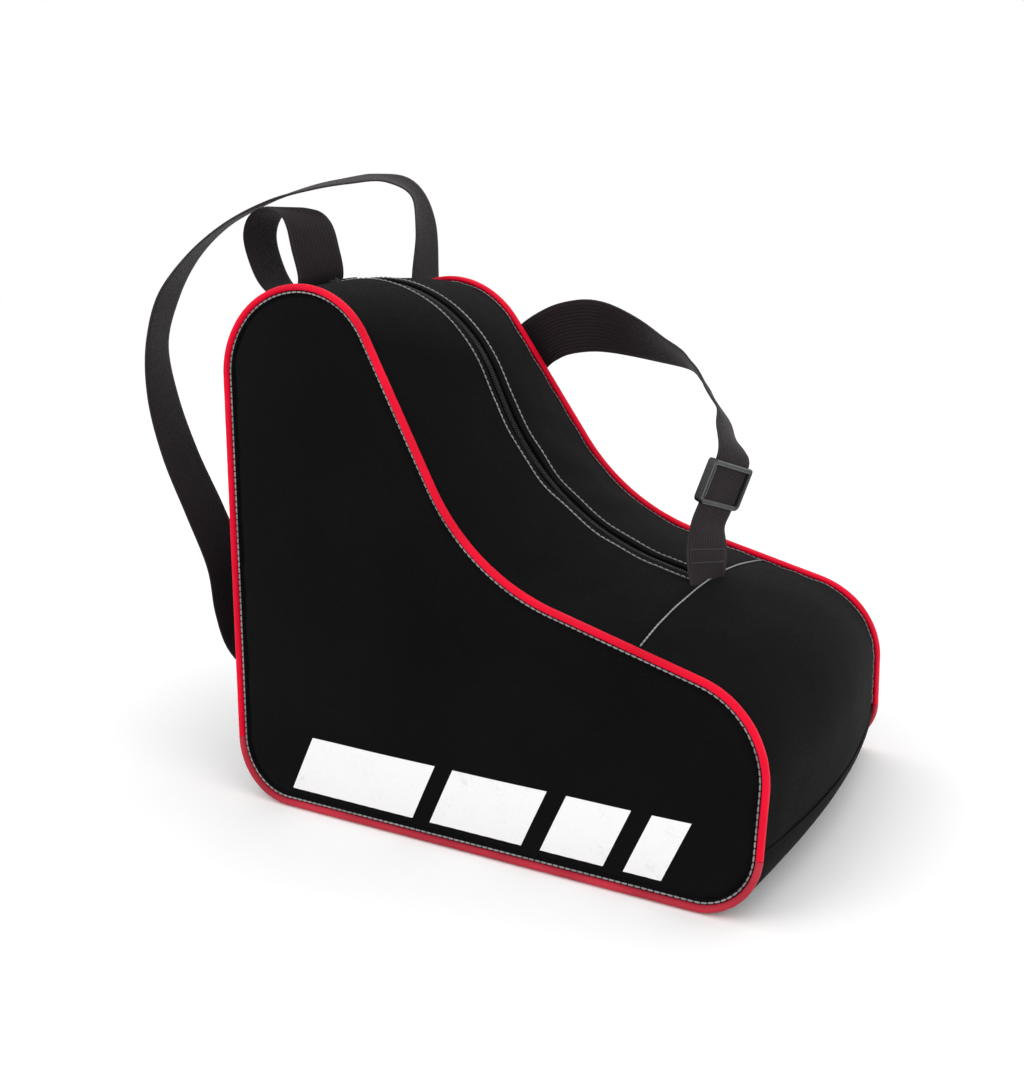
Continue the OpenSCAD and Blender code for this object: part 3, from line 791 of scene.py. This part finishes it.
def piping(name, side, s0, s1, material, slot, replaces, gap=0.0):
    path = side_path(side, PIPING_R, PIPING_IN, s0, s1)
    t = tangents(path)
    path[0] += t[0] * gap
    path[-1] -= t[-1] * gap
    # the cover is drawn tight over the cord, with a slight unevenness
    radius = [PIPING_R - 0.05 + 0.09 * noise.noise(Vector(p * 0.25)) for p in path]
    points, faces = tube(path, radius, PIPING_SIDES, (0, 1, 0), PIPING_W / PIPING_R)
    wear = [[max(0.0, noise.noise(Vector(p * 0.03)) + 0.25) * 0.8] * PIPING_SIDES for p in path]
    add_mesh(name, points, faces, material, "bag", slot, replaces, wear=flat_list(wear), sharp=60)


for side, word in SIDES:
    piping(f"cord_{word}_upper", side, TOE_LOW_SEAM, HEEL_SEAM, RED, "piping_bright",
           [f"piping_{word}_upper"])
    # The base run takes the darker copy of the red: painted shade along the bottom of the bag.
    piping(f"cord_{word}_base", side, HEEL_SEAM, ROUND + TOE_LOW_SEAM, SHADED_RED, "piping_deep",
           [f"piping_{word}_base"], 0.3)


# ---- seams and stitching
HEM_IN = 5.4
HEM_R = 1.2
HEM_W = 1.5
HEM_D = 1.9
ZIP_ROW_Y = 12.5
EDGE_ROW_IN = 2.9


def side_hem(side, word):
    """Turned edge of the side panel's cloth, pressed against the piping; the edge stitching sits on it."""
    path = side_path(side, HEM_IN, HEM_D)
    radius = [HEM_R + 0.06 * noise.noise(Vector(p * 0.2)) for p in path]
    points, faces = tube(path, radius, 10, (0, 1, 0), HEM_W / HEM_R)
    add_mesh(f"hem_side_{word}", points, faces, CLOTH_SIDE, "bag", "shell_cloth", sharp=60)


def wrap_row(s0, s1, across, lift=0.3):
    """Row of stitches along the wrap; across(s) is its cross position."""
    svals = stations(s0, s1, 3.0)
    path = np.array([skin(s, across(s), -lift)[0] for s in svals])
    normals = [wrap_normal(s, across(s)) for s in svals]
    return path, lambda p: normals[int(np.argmin(np.linalg.norm(path - p, axis=1)))]


def cross_row(s, inset):
    """Row of stitches across the wrap, stopping inset from both edges."""
    h = wrap_half(s) - inset
    return [skin(s, y, -0.35)[0] for y in np.linspace(-h, h, 90)], wrap_normal(s, 0)


for side, word in SIDES:
    side_hem(side, word)
    row = side_path(side, HEM_IN + 0.1, HEM_D - HEM_W - 0.05, step=3.0)
    add_stitches(f"stitch_side_{word}", [(row, (0, side, LEAN))])
    row = wrap_row(TOE_SEAM + 0.05, TOP_SEAM - 0.03, lambda s: side * ZIP_ROW_Y)
    add_stitches(f"stitch_zip_{word}", [row])
# The photo shows this row along the far piping only
edge_row = wrap_row(TOE_LOW_SEAM + 0.03, TOP_SEAM - 0.03, lambda s: wrap_half(s) - EDGE_ROW_IN, 0.55)
add_stitches("stitch_edge_right", [edge_row], radius=0.5)
add_stitches("stitch_toe_seam", [cross_row(TOE_SEAM - 0.03, 8.0)])
add_stitches("stitch_top_seam", [cross_row(TOP_SEAM - 0.12, 4.0)])


# ---- zip
def zip_tape(name, side, replaces):
    svals = stations(TOE_SEAM + 0.001, TOP_SEAM - 0.001, 4.0)
    ys = [side * y for y in (COIL_W + 0.1, 4.2, 6.5, 10, 13, 16)]
    outer, inner = [[[wrap(s, y, CLOTH_T + d) for y in ys] for s in svals] for d in (0.4, 1.1)]
    uv = [[(y, run) for y in ys] for run in run_along([wrap(s, 0) for s in svals])]
    wear = [[0.0] * len(ys)] * len(svals)
    add_sheet(name, outer, inner, uv, wear, TAPE, "zip_tape", replaces)


def zip_coil(name, side, replaces, pitch=1.75, steps=12):
    """One half of the coil: a flattened helix whose turns reach between the other half's turns."""
    svals = stations(TOE_SEAM + 0.001, TOP_SEAM - 0.001, 3.0)
    run = run_along([wrap(s, 0) for s in svals])
    path = []
    for i in range(int(run[-1] / pitch) * steps + 1):
        a = 2 * math.pi * (i / steps + (0.5 if side > 0 else 0.0))
        s = float(np.interp(min(run[-1], i / steps * pitch), run, svals))
        path.append(wrap(s, side * (1.25 + 1.75 * math.cos(a)), 1.75 + 0.72 * math.sin(a)))
    add_mesh(name, *tube(path, 0.36, 5, (0.3, 0.1, 0.95)), COIL, "bag", "zip_coil", replaces)


for make, kind in ((zip_tape, "tape"), (zip_coil, "coil")):
    for side, word in SIDES:
        make(f"{kind}_{word}", side, [f"zip_{kind}_{word}"])


# ---- webbing
def catmull(p, steps):
    p = np.asarray(p, float)
    n = len(p) - 1
    out = []
    for i in range(n):
        a, b, c, d = p[max(i - 1, 0)], p[i], p[i + 1], p[min(i + 2, n)]
        for k in range(steps):
            t = k / steps
            out.append(0.5 * (2 * b + (c - a) * t + (2 * a - 5 * b + 4 * c - d) * t * t
                              + (3 * b - 3 * c + d - a) * t ** 3))
    return np.array(out + [p[n]])


WEB_T = 1.8


def webbing(name, path, across, width, body, replaces, cols=16):
    """Flat band with rounded edges and a slight hollow across its width."""
    run = run_along(path)
    half = [(x, 0.5 * (1 - 0.55 * max(0, (abs(x) - 0.9) / 0.1) ** 2)) for x in np.linspace(-1, 1, cols + 1)]
    section = half + [(x, -h) for x, h in half[::-1]]
    rings = []
    for p, t, w, r in zip(path, tangents(path), across, run):
        w = unit(w - (w @ t) * t)
        n = np.cross(t, w)
        wave = 0.35 * noise.noise(Vector((r * 0.02, 3.3, 0)))
        rings.append([p + w * x * width / 2 + n * (h * WEB_T + wave * (1 - x * x)) for x, h in section])
    uvs = [(x * width / 2, r) for r in run for x, h in section]
    wear = [0.8 * max(0, abs(x) - 0.8) / 0.2 for x, h in section] * len(run)
    obj = add_mesh(name, *skinned_tube(rings), WEBBING, body, "webbing", replaces, uvs, wear, sharp=60)


LOOP_ROUTE = [(-206, 325), (-222, 330), (-237, 342), (-246, 360), (-249, 376), (-243, 389),
              (-229, 395), (-213, 392), (-203, 382), (-198, 366), (-194, 348), (-198, 336), (-203, 328)]
loop_path = catmull([(x, 0, z) for x, z in LOOP_ROUTE], 8)
loop_share = np.linspace(0, 1, len(loop_path))
loop_turn = np.radians(28 * np.maximum(0, np.sin(np.pi * (loop_share - 0.5) * 2)))
loop_across = np.stack([np.sin(loop_turn), np.cos(loop_turn), 0 * loop_turn], 1)
webbing("loop_band", loop_path, loop_across, 38, "grab_loop", ["grab_loop"])

ADJUSTER = np.array([117, 12, 217.0])
UP = unit([27, 22, 94])
FLAT = unit([0.23, 0.93, -0.285])
STRAP_ROUTE = [
    (-182, -80, 66), (-198, -80, 72), (-214, -81, 87), (-222, -82, 112), (-227, -82, 144),
    (-246, -80, 180), (-271, -75, 219), (-291, -68, 259), (-301, -60, 298), (-297, -50, 331),
    (-282, -38, 360), (-262, -22, 383), (-241, 0, 399), (-222, 24, 409), (-206, 48, 415),
    (-190, 74, 418), (-178, 100, 409), (-176, 116, 382), (-182, 124, 340), (-185, 131, 296),
    (-180, 138, 256), (-163, 142, 228), (-136, 141, 226), (-112, 137, 252), (-90, 130, 285),
    (-66, 124, 301), (-40, 116, 308), (-12, 105, 309), (26, 88, 303), (62, 69, 294),
    (81, 56, 283), (95.5, 44, 270), (107, 35, 259), (113.5, 27, 249.5), (118, 22, 243.5),
    (120.5, 19, 239), (121.4, 16.7, 234.6)]
STRAP_ROUTE += [tuple(ADJUSTER + d * UP) for d in (14, 8, 2, -6, -16, -28)] + [(110, 3, 177), (112, 0, 161)]
STRAP_ACROSS = [
    (0, 1, 0), (0, 1, 0), (0, 1, 0), (0, 1, 0), (0, 1, 0),
    (-0.02, 1, 0), (-0.1, 0.99, 0), (-0.22, 0.97, 0), (-0.36, 0.93, 0), (-0.33, 0.95, 0),
    (-0.45, 0.89, 0), (-0.56, 0.83, 0), (-0.6, 0.8, 0), (-0.68, 0.73, 0.05), (-0.7, 0.7, 0.1),
    (-0.6, 0.78, 0.15), (-0.38, 0.9, 0.2), (-0.15, 0.97, 0.2), (0, 1, 0), (0, 1, 0),
    (0, 1, 0), (0, 1, 0), (0.15, 0.85, -0.5), (0.3, 0.5, -0.8), (0.4, 0.15, -0.9),
    (0.3, 0, -0.95), (0.1, 0.1, -0.99), (-0.1, 0.35, -0.93), (-0.25, 0.7, -0.68), (-0.31, 0.9, -0.3),
    (-0.33, 0.93, -0.16), (-0.31, 0.94, -0.14), (-0.22, 0.95, -0.18), (-0.06, 0.96, -0.25), (0.1, 0.94, -0.3),
    (0.18, 0.93, -0.3), (0.22, 0.93, -0.3)]
STRAP_ACROSS += [tuple(FLAT)] * 6 + [(0.36, 0.92, -0.2), (0.3, 0.95, -0.08)]
# The lower end runs on down under the toe seam, where it is sewn in
strap_path = catmull(STRAP_ROUTE + [(113, -1, 150)], 8)
strap_across = catmull(STRAP_ACROSS + [(0.1, 0.99, 0)], 8)
webbing("strap_band", strap_path, strap_across, 40, "bag", ["shoulder_strap"])


# ---- hard pieces
class Parts:
    """Bevelled solids put together in a local frame and then placed."""

    def __init__(self, origin, axes):
        self.bm = bmesh.new()
        self.origin = np.asarray(origin, float)
        self.axes = np.array(axes, float)

    def bevel(self, made, size, segments):
        edges = {e for v in made for e in v.link_edges}
        edges = [e for e in edges if len(e.link_faces) == 2 and e.calc_face_angle(0) > 0.5]
        bmesh.ops.bevel(self.bm, geom=edges, offset=size, segments=segments, profile=0.6,
                        affect="EDGES", clamp_overlap=True)

    def box(self, low, high, bevel, segments=2):
        low, high = Vector(low), Vector(high)
        made = bmesh.ops.create_cube(self.bm, size=1.0)["verts"]
        fit = Matrix.Translation((low + high) / 2) @ Matrix.Diagonal((*(high - low), 1))
        bmesh.ops.transform(self.bm, matrix=fit, verts=made)
        self.bevel(made, bevel, segments)

    def pin(self, half, radius, bevel):
        """Rod along the second axis, across the middle."""
        made = bmesh.ops.create_cone(self.bm, cap_ends=True, segments=24, radius1=radius, radius2=radius,
                                     depth=2 * half)["verts"]
        turn = Vector((0, 1, 0)).to_track_quat("Z", "Y").to_matrix().to_4x4()
        bmesh.ops.transform(self.bm, matrix=turn, verts=made)
        self.bevel(made, bevel, 2)

    def add(self, points, faces):
        verts = [self.bm.verts.new(tuple(p)) for p in points]
        for f in faces:
            self.bm.faces.new([verts[i] for i in f])

    def finish(self, name, material, body, slot, replaces=()):
        self.bm.verts.index_update()
        points = [self.origin + np.array(v.co) @ self.axes for v in self.bm.verts]
        faces = [[v.index for v in f.verts] for f in self.bm.faces]
        self.bm.free()
        add_mesh(name, points, faces, material, body, slot, replaces, sharp=40)


def ring_path(half_a, half_c, corners, steps=7):
    """Rounded rectangle of points (a, c) with its four corner radii, from the top right round."""
    out = []
    for k, (sa, sc) in enumerate(((1, 1), (-1, 1), (-1, -1), (1, -1))):
        r = corners[k]
        for i in range(steps + 1):
            g = math.radians(90 * k + 90 * i / steps)
            out.append((sa * (half_a - r) + r * math.cos(g), sc * (half_c - r) + r * math.sin(g)))
    return out


def frame_ring(half_a, half_c, rail, bar, deep, front, corners):
    """Frame of the slide: deep rails at the sides, flatter bars in front of the strap at both ends."""
    rings = []
    for (oa, oc), (ia, ic) in zip(ring_path(half_a, half_c, corners),
                                  ring_path(half_a - rail, half_c - bar, [1.2] * 4)):
        share = smooth(abs(oc) / half_c, 0.80, 0.99) * smooth(half_a - abs(oa), 1.2, 4.0)
        back = -deep + share * (deep + front)
        bow = 0.7 * (1 - (oc / half_c) ** 2) * (1 - share)
        top = deep - 0.25 * share - 0.5 + 0.5 * bow
        section = ((0.0, back + 0.7), (0.0, top - 0.9), (0.06, top - 0.35), (0.22, top), (0.78, top - 0.1),
                   (0.94, top - 0.4), (1.0, top - 0.95), (1.0, back + 0.6), (0.85, back + 0.1), (0.2, back))
        rings.append([(oa + (ia - oa) * u, b, oc + (ic - oc) * u) for u, b in section])
    return skinned_tube(rings, looped=True)


SLIDE_AXES = [FLAT, np.cross(FLAT, UP), UP]
slide = Parts(ADJUSTER, SLIDE_AXES)
slide.add(*frame_ring(half_a=23.6, half_c=15.0, rail=3.0, bar=3.6, deep=3.4, front=1.4,
                      corners=(2.2, 2.2, 3.6, 4.6)))
slide.box((-21.2, -3.4, -3.6), (21.2, -1.4, 3.6), 0.6, segments=3)
for c in (-2.0, 0.0, 2.0):
    slide.box((-19.6, -1.6, c - 0.5), (19.6, -1.28, c + 0.5), 0.14)
for side in (-1, 1):
    for c in (-9.5, -6.5, 6.5, 9.5):
        slide.box((side * 23.4 - 0.45, -1.6, c - 0.6), (side * 23.4 + 0.45, 1.6, c + 0.6), 0.25)
slide.finish("adjuster_frame", PLASTIC, "strap_adjuster", "adjuster_plastic", ["strap_adjuster"])

# Painted highlights along the slide's edges, each a thin light bead from one point to another: ends, count of
# points, radius
highlight_beads = Parts(ADJUSTER, SLIDE_AXES)
for start, end, count, radius in (((-23.3, 2.7, -12.5), (-23.3, 2.7, 13.2), 9, 0.22),
                                  ((-21.1, 3.15, -9.8), (-21.1, 3.15, 10.2), 9, 0.2),
                                  ((-21.5, 2.75, 14.3), (22.0, 2.75, 14.3), 12, 0.22),
                                  ((-21.5, 2.8, 12.2), (21.0, 2.8, 12.2), 12, 0.16),
                                  ((-20.5, 2.75, -14.4), (19.5, 2.75, -14.4), 12, 0.2)):
    highlight_beads.add(*tube(np.linspace(start, end, count), radius, 8, (0, 1, 0.3)))
highlight_beads.finish("adjuster_edges", EDGE_HIGHLIGHT, "strap_adjuster", "adjuster_plastic")

# Slider and pull tab, parked over the back of the crest
BRIDGE_A = 108
PULLER_TILT = 11
PIN_HEIGHT = 3.6
EYE_R = 1.3


def crest_frame(height, tilt):
    """Point height over the zip line at the slider's bridge, and the frame there, tilted forwards:
    along the zip, across it, outwards."""
    x, z = polar(RIDE_C, RIDE_R + height, BRIDGE_A)
    ahead, out = unit2(BRIDGE_A - 90 - tilt), unit2(BRIDGE_A - tilt)
    return [x, 0, z], [(ahead[0], 0, ahead[1]), (0, 1, 0), (out[0], 0, out[1])]


def zip_slider():
    parts = Parts(*crest_frame(0, 0))
    length, width = 7.8, 4.8

    def sag(a):
        return -(a * a) / (2 * RIDE_R)

    # upper plate, narrower at the back where the two halves have met, and its curled side flanges
    plate = [(-length, -3.3), (-length * 0.55, -4.1), (length * 0.35, -width), (length, -width)]
    plate += [(a, -b) for a, b in plate[::-1]]
    levels = ((-0.1, 0.96), (0.1, 1.0), (0.95, 1.0), (1.3, 0.94), (1.42, 0.82))
    parts.add(*skinned_tube([[(a * g, b * g, h + sag(a)) for a, b in plate] for h, g in levels]))
    for side in (-1, 1):
        for k in range(6):
            a0, a1 = -length + k * length / 3 + 0.1, -length + (k + 1) * length / 3 - 0.02
            mid = (a0 + a1) / 2
            y = side * (3.4 + 1.0 * smooth(mid, -length, length * 0.4))
            parts.box((a0, y - 0.55, -1.75 + sag(mid)), (a1 + 0.1, y + 0.55, 0.3 + sag(mid)), 0.18)
    # the bridge that holds the pull tab's pin: two posts under a bowed bar
    for a in (-2.7, 2.7):
        parts.box((a - 0.75, -1.25, 0.9), (a + 0.75, 1.25, 4.6), 0.3)
    bow = [(3.05 * math.sin(g), 0, 4.35 + 1.1 * math.cos(g)) for g in np.linspace(-1.35, 1.35, 11)]
    parts.add(*tube(bow, 0.72, 10, (0, 1, 0), 1.7))
    parts.finish("slider_body", HARDWARE, "zip_slider", "zip_hardware", ["zip_slider"])


def zip_puller():
    parts = Parts(*crest_frame(PIN_HEIGHT, PULLER_TILT))
    parts.pin(3.4, EYE_R - 0.1, 0.2)
    for side in (-1, 1):
        parts.box((-1.1, side * 2.65 - 0.8, -0.88), (6.4, side * 2.65 + 0.8, 0.88), 0.4, segments=3)
    # tab with a rounded end, a raised rim and grip ribs
    half, t, start, middle, reach = 3.5, 0.7, 4.6, 10.5, 16.5
    outline = [(start, -half), (reach, -half)]
    outline += [(reach + half * math.sin(g), -half * math.cos(g))
                for g in np.linspace(0.2, math.pi - 0.2, 12)]
    outline += [(reach, half), (start, half)]
    levels = ((-t, 0.9), (-t + 0.25, 1.0), (t - 0.2, 1.0), (t, 0.95), (t - 0.05, 0.86), (t - 0.4, 0.8))
    parts.add(*skinned_tube([[(middle + (a - middle) * (0.6 + 0.4 * g), b * g, h) for a, b in outline]
                             for h, g in levels]))
    for a in (8.0, 10.0, 12.0, 14.0, 16.0):
        parts.box((a - 0.45, -2.3, t - 0.5), (a + 0.45, 2.3, t - 0.05), 0.15)
    parts.finish("puller_tab", HARDWARE, "zip_puller", "zip_hardware", ["zip_puller"])


def zip_stop(name, s, replaces):
    """Metal clip bent over both halves of the coil."""
    parts = Parts(wrap(s, 0), [unit(wrap(s + 0.01, 0) - wrap(s - 0.01, 0)), (0, 1, 0), wrap_normal(s, 0)])
    bend = [(y, 0.32 - 0.75 * max(0, abs(y) - 2.4) ** 1.6) for y in np.linspace(-3.5, 3.5, 15)]
    for a in (-1.25, 0.0, 1.25):
        parts.add(*tube([(a, y, h) for y, h in bend], 0.36, 8, (1, 0, 0), 1.9))
    parts.finish(name, METAL, "bag", "zip_metal", replaces)


def station_near(node):
    """Station of the wrap's middle line that is nearest to the middle of a CAD node."""
    low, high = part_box(node)
    x, z = [(low[k] + high[k]) / 2 / MM for k in (0, 2)]
    svals = np.linspace(TOE_SEAM, TOP_SEAM, 1200)
    near = [math.hypot(wrap(s, 0)[0] - x, wrap(s, 0)[2] - z) for s in svals]
    return float(svals[int(np.argmin(near))])


zip_slider()
zip_puller()
zip_stop("stop_front", station_near("zip_stop_front"), ["zip_stop_front"])
zip_stop("stop_rear", station_near("zip_stop_rear"), ["zip_stop_rear"])


# ---- sewn ends of the webbing
ANCHOR_S = (10.767, 10.913)
ANCHOR_Y = (-104, -56)


def sewn_stitches(name, rows, body="bag", radius=0.4):
    add_stitches(name, rows, BLACK_THREAD, body, "webbing", pitch=2.6, length=2.2, radius=radius)


def anchor_patch():
    """Square of webbing on the heel panel, sewn on all round and across."""
    outer, inner, uv, wear = [], [], [], []
    ys = np.linspace(*ANCHOR_Y, 17)
    for i, s in enumerate(np.linspace(*ANCHOR_S, 13)):
        edges = [min(y - ANCHOR_Y[0], ANCHOR_Y[1] - y, 5 * min(i, 12 - i) + 0.01) for y in ys]
        rises = [2.1 - 0.55 * math.exp(-((e - 4) / 1.5) ** 2) - 0.8 * math.exp(-e / 0.8) for e in edges]
        outer.append([skin(s, y, -rise)[0] for y, rise in zip(ys, rises)])
        inner.append([skin(s, y, -0.12)[0] for y in ys])
        uv.append([(y, i * 2.9) for y in ys])
        wear.append([math.exp(-e / 3) for e in edges])
    add_sheet("anchor_patch", outer, inner, uv, wear, WEBBING, "webbing", ["strap_anchor_patch"])
    low, high = np.array([ANCHOR_Y[0], ANCHOR_S[0]]), np.array([ANCHOR_Y[1], ANCHOR_S[1]])
    corners = [low + (high - low) * share for share in ((0.1, 0.12), (0.9, 0.12), (0.9, 0.88), (0.1, 0.88))]
    out = wrap_normal(sum(ANCHOR_S) / 2, sum(ANCHOR_Y) / 2)
    rows = []
    for a, b, count in ((0, 1, 14), (1, 2, 14), (2, 3, 14), (3, 0, 14), (0, 2, 16), (1, 3, 16)):
        line = np.linspace(corners[a], corners[b], count)
        rows.append(([skin(s, y, -2.25)[0] for y, s in line], out))
    sewn_stitches("stitch_anchor", rows, radius=0.42)


def band_rows(path, across, places, half):
    """Rows of stitches straight across both faces of a band, at some points of its path."""
    rows = []
    for i in places:
        t = tangents(path)[i]
        w = unit(across[i] - (across[i] @ t) * t)
        for n in (-np.cross(t, w), np.cross(t, w)):
            rows.append(([path[i] + w * x + n for x in np.linspace(-half, half, 12)], n))
    return rows


anchor_patch()
strap_last, loop_last = len(strap_path) - 1, len(loop_path) - 1
rows = band_rows(strap_path, strap_across, (strap_last - 11, strap_last - 15), 17)
sewn_stitches("stitch_strap_foot", rows)
rows = band_rows(loop_path, loop_across, (5, 8, loop_last - 4, loop_last - 7), 16)
sewn_stitches("stitch_loop_feet", rows, "grab_loop")


# ---- mark
BAR_X, BAR_Z = -126, 12
BAR_HIGH, BAR_SLANT, BAR_GAP = 38, 16, 13


def printed_bars():
    """Plain slanted bars of ink low on the left side, each shorter than the last."""
    bars, x0 = [], BAR_X
    for width in (96, 66, 42, 24):
        us, vs = np.linspace(0, 1, max(4, round(width / 3)) + 1), np.linspace(0, 1, 16)
        bars.append(shell(*([[on_print(x0 + u * width + v * BAR_SLANT, BAR_Z + v * BAR_HIGH, up)
                              for u in us] for v in vs] for up in (0.28, 0.06))))
        x0 += width + BAR_GAP
    return merged(bars)


add_mesh("print_bars", *printed_bars(), PRINT, "bag", "printed_mark", ["side_mark"])

# ---- materials of the CAD nodes that stay
for name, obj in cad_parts.items():
    if not obj.hide_render:
        obj.data.materials.clear()
        obj.data.materials.append(LINING if "lining" in name else FOAM if "foam" in name
                                  else BOARD if name == "base_board" else BINDING)


# ---- floor and light
def floor_plane(half=6.0, z=-0.0002):
    mesh = bpy.data.meshes.new("floor")
    corners = [(-half, -half, z), (half, -half, z), (half, half, z), (-half, half, z)]
    mesh.from_pydata(corners, [], [(0, 1, 2, 3)])
    n = Nodes("floor")
    n.set(Base_Color=(0.995, 0.995, 0.995), Roughness=0.9, Specular_IOR_Level=0.1)
    mesh.materials.append(n.mat)
    link("floor", mesh)


def area_light(name, place, target, size, power):
    data = bpy.data.lights.new(name, "AREA")
    data.shape = "RECTANGLE"
    data.size, data.size_y = size
    data.energy = power
    obj = link(name, data)
    obj.location = place
    obj.rotation_euler = (Vector(target) - Vector(place)).to_track_quat("-Z", "Y").to_euler()


floor_plane()
area_light("key", (-1.4, -2.2, 2.4), (0, 0, 0.15), (1.6, 1.6), 16)
area_light("fill", (2.6, -1.2, 1.6), (0, 0, 0.15), (1.6, 1.6), 8)
area_light("top", (0.2, 0.8, 3.0), (0, 0, 0.1), (2.0, 2.0), 10)
world = bpy.data.worlds.new("world")
bpy.context.scene.world = world
world.use_nodes = True
background = world.node_tree.nodes["Background"]
background.inputs["Color"].default_value = (1, 1, 1, 1)
background.inputs["Strength"].default_value = 1.0
bpy.context.scene.view_settings.view_transform = "Standard"
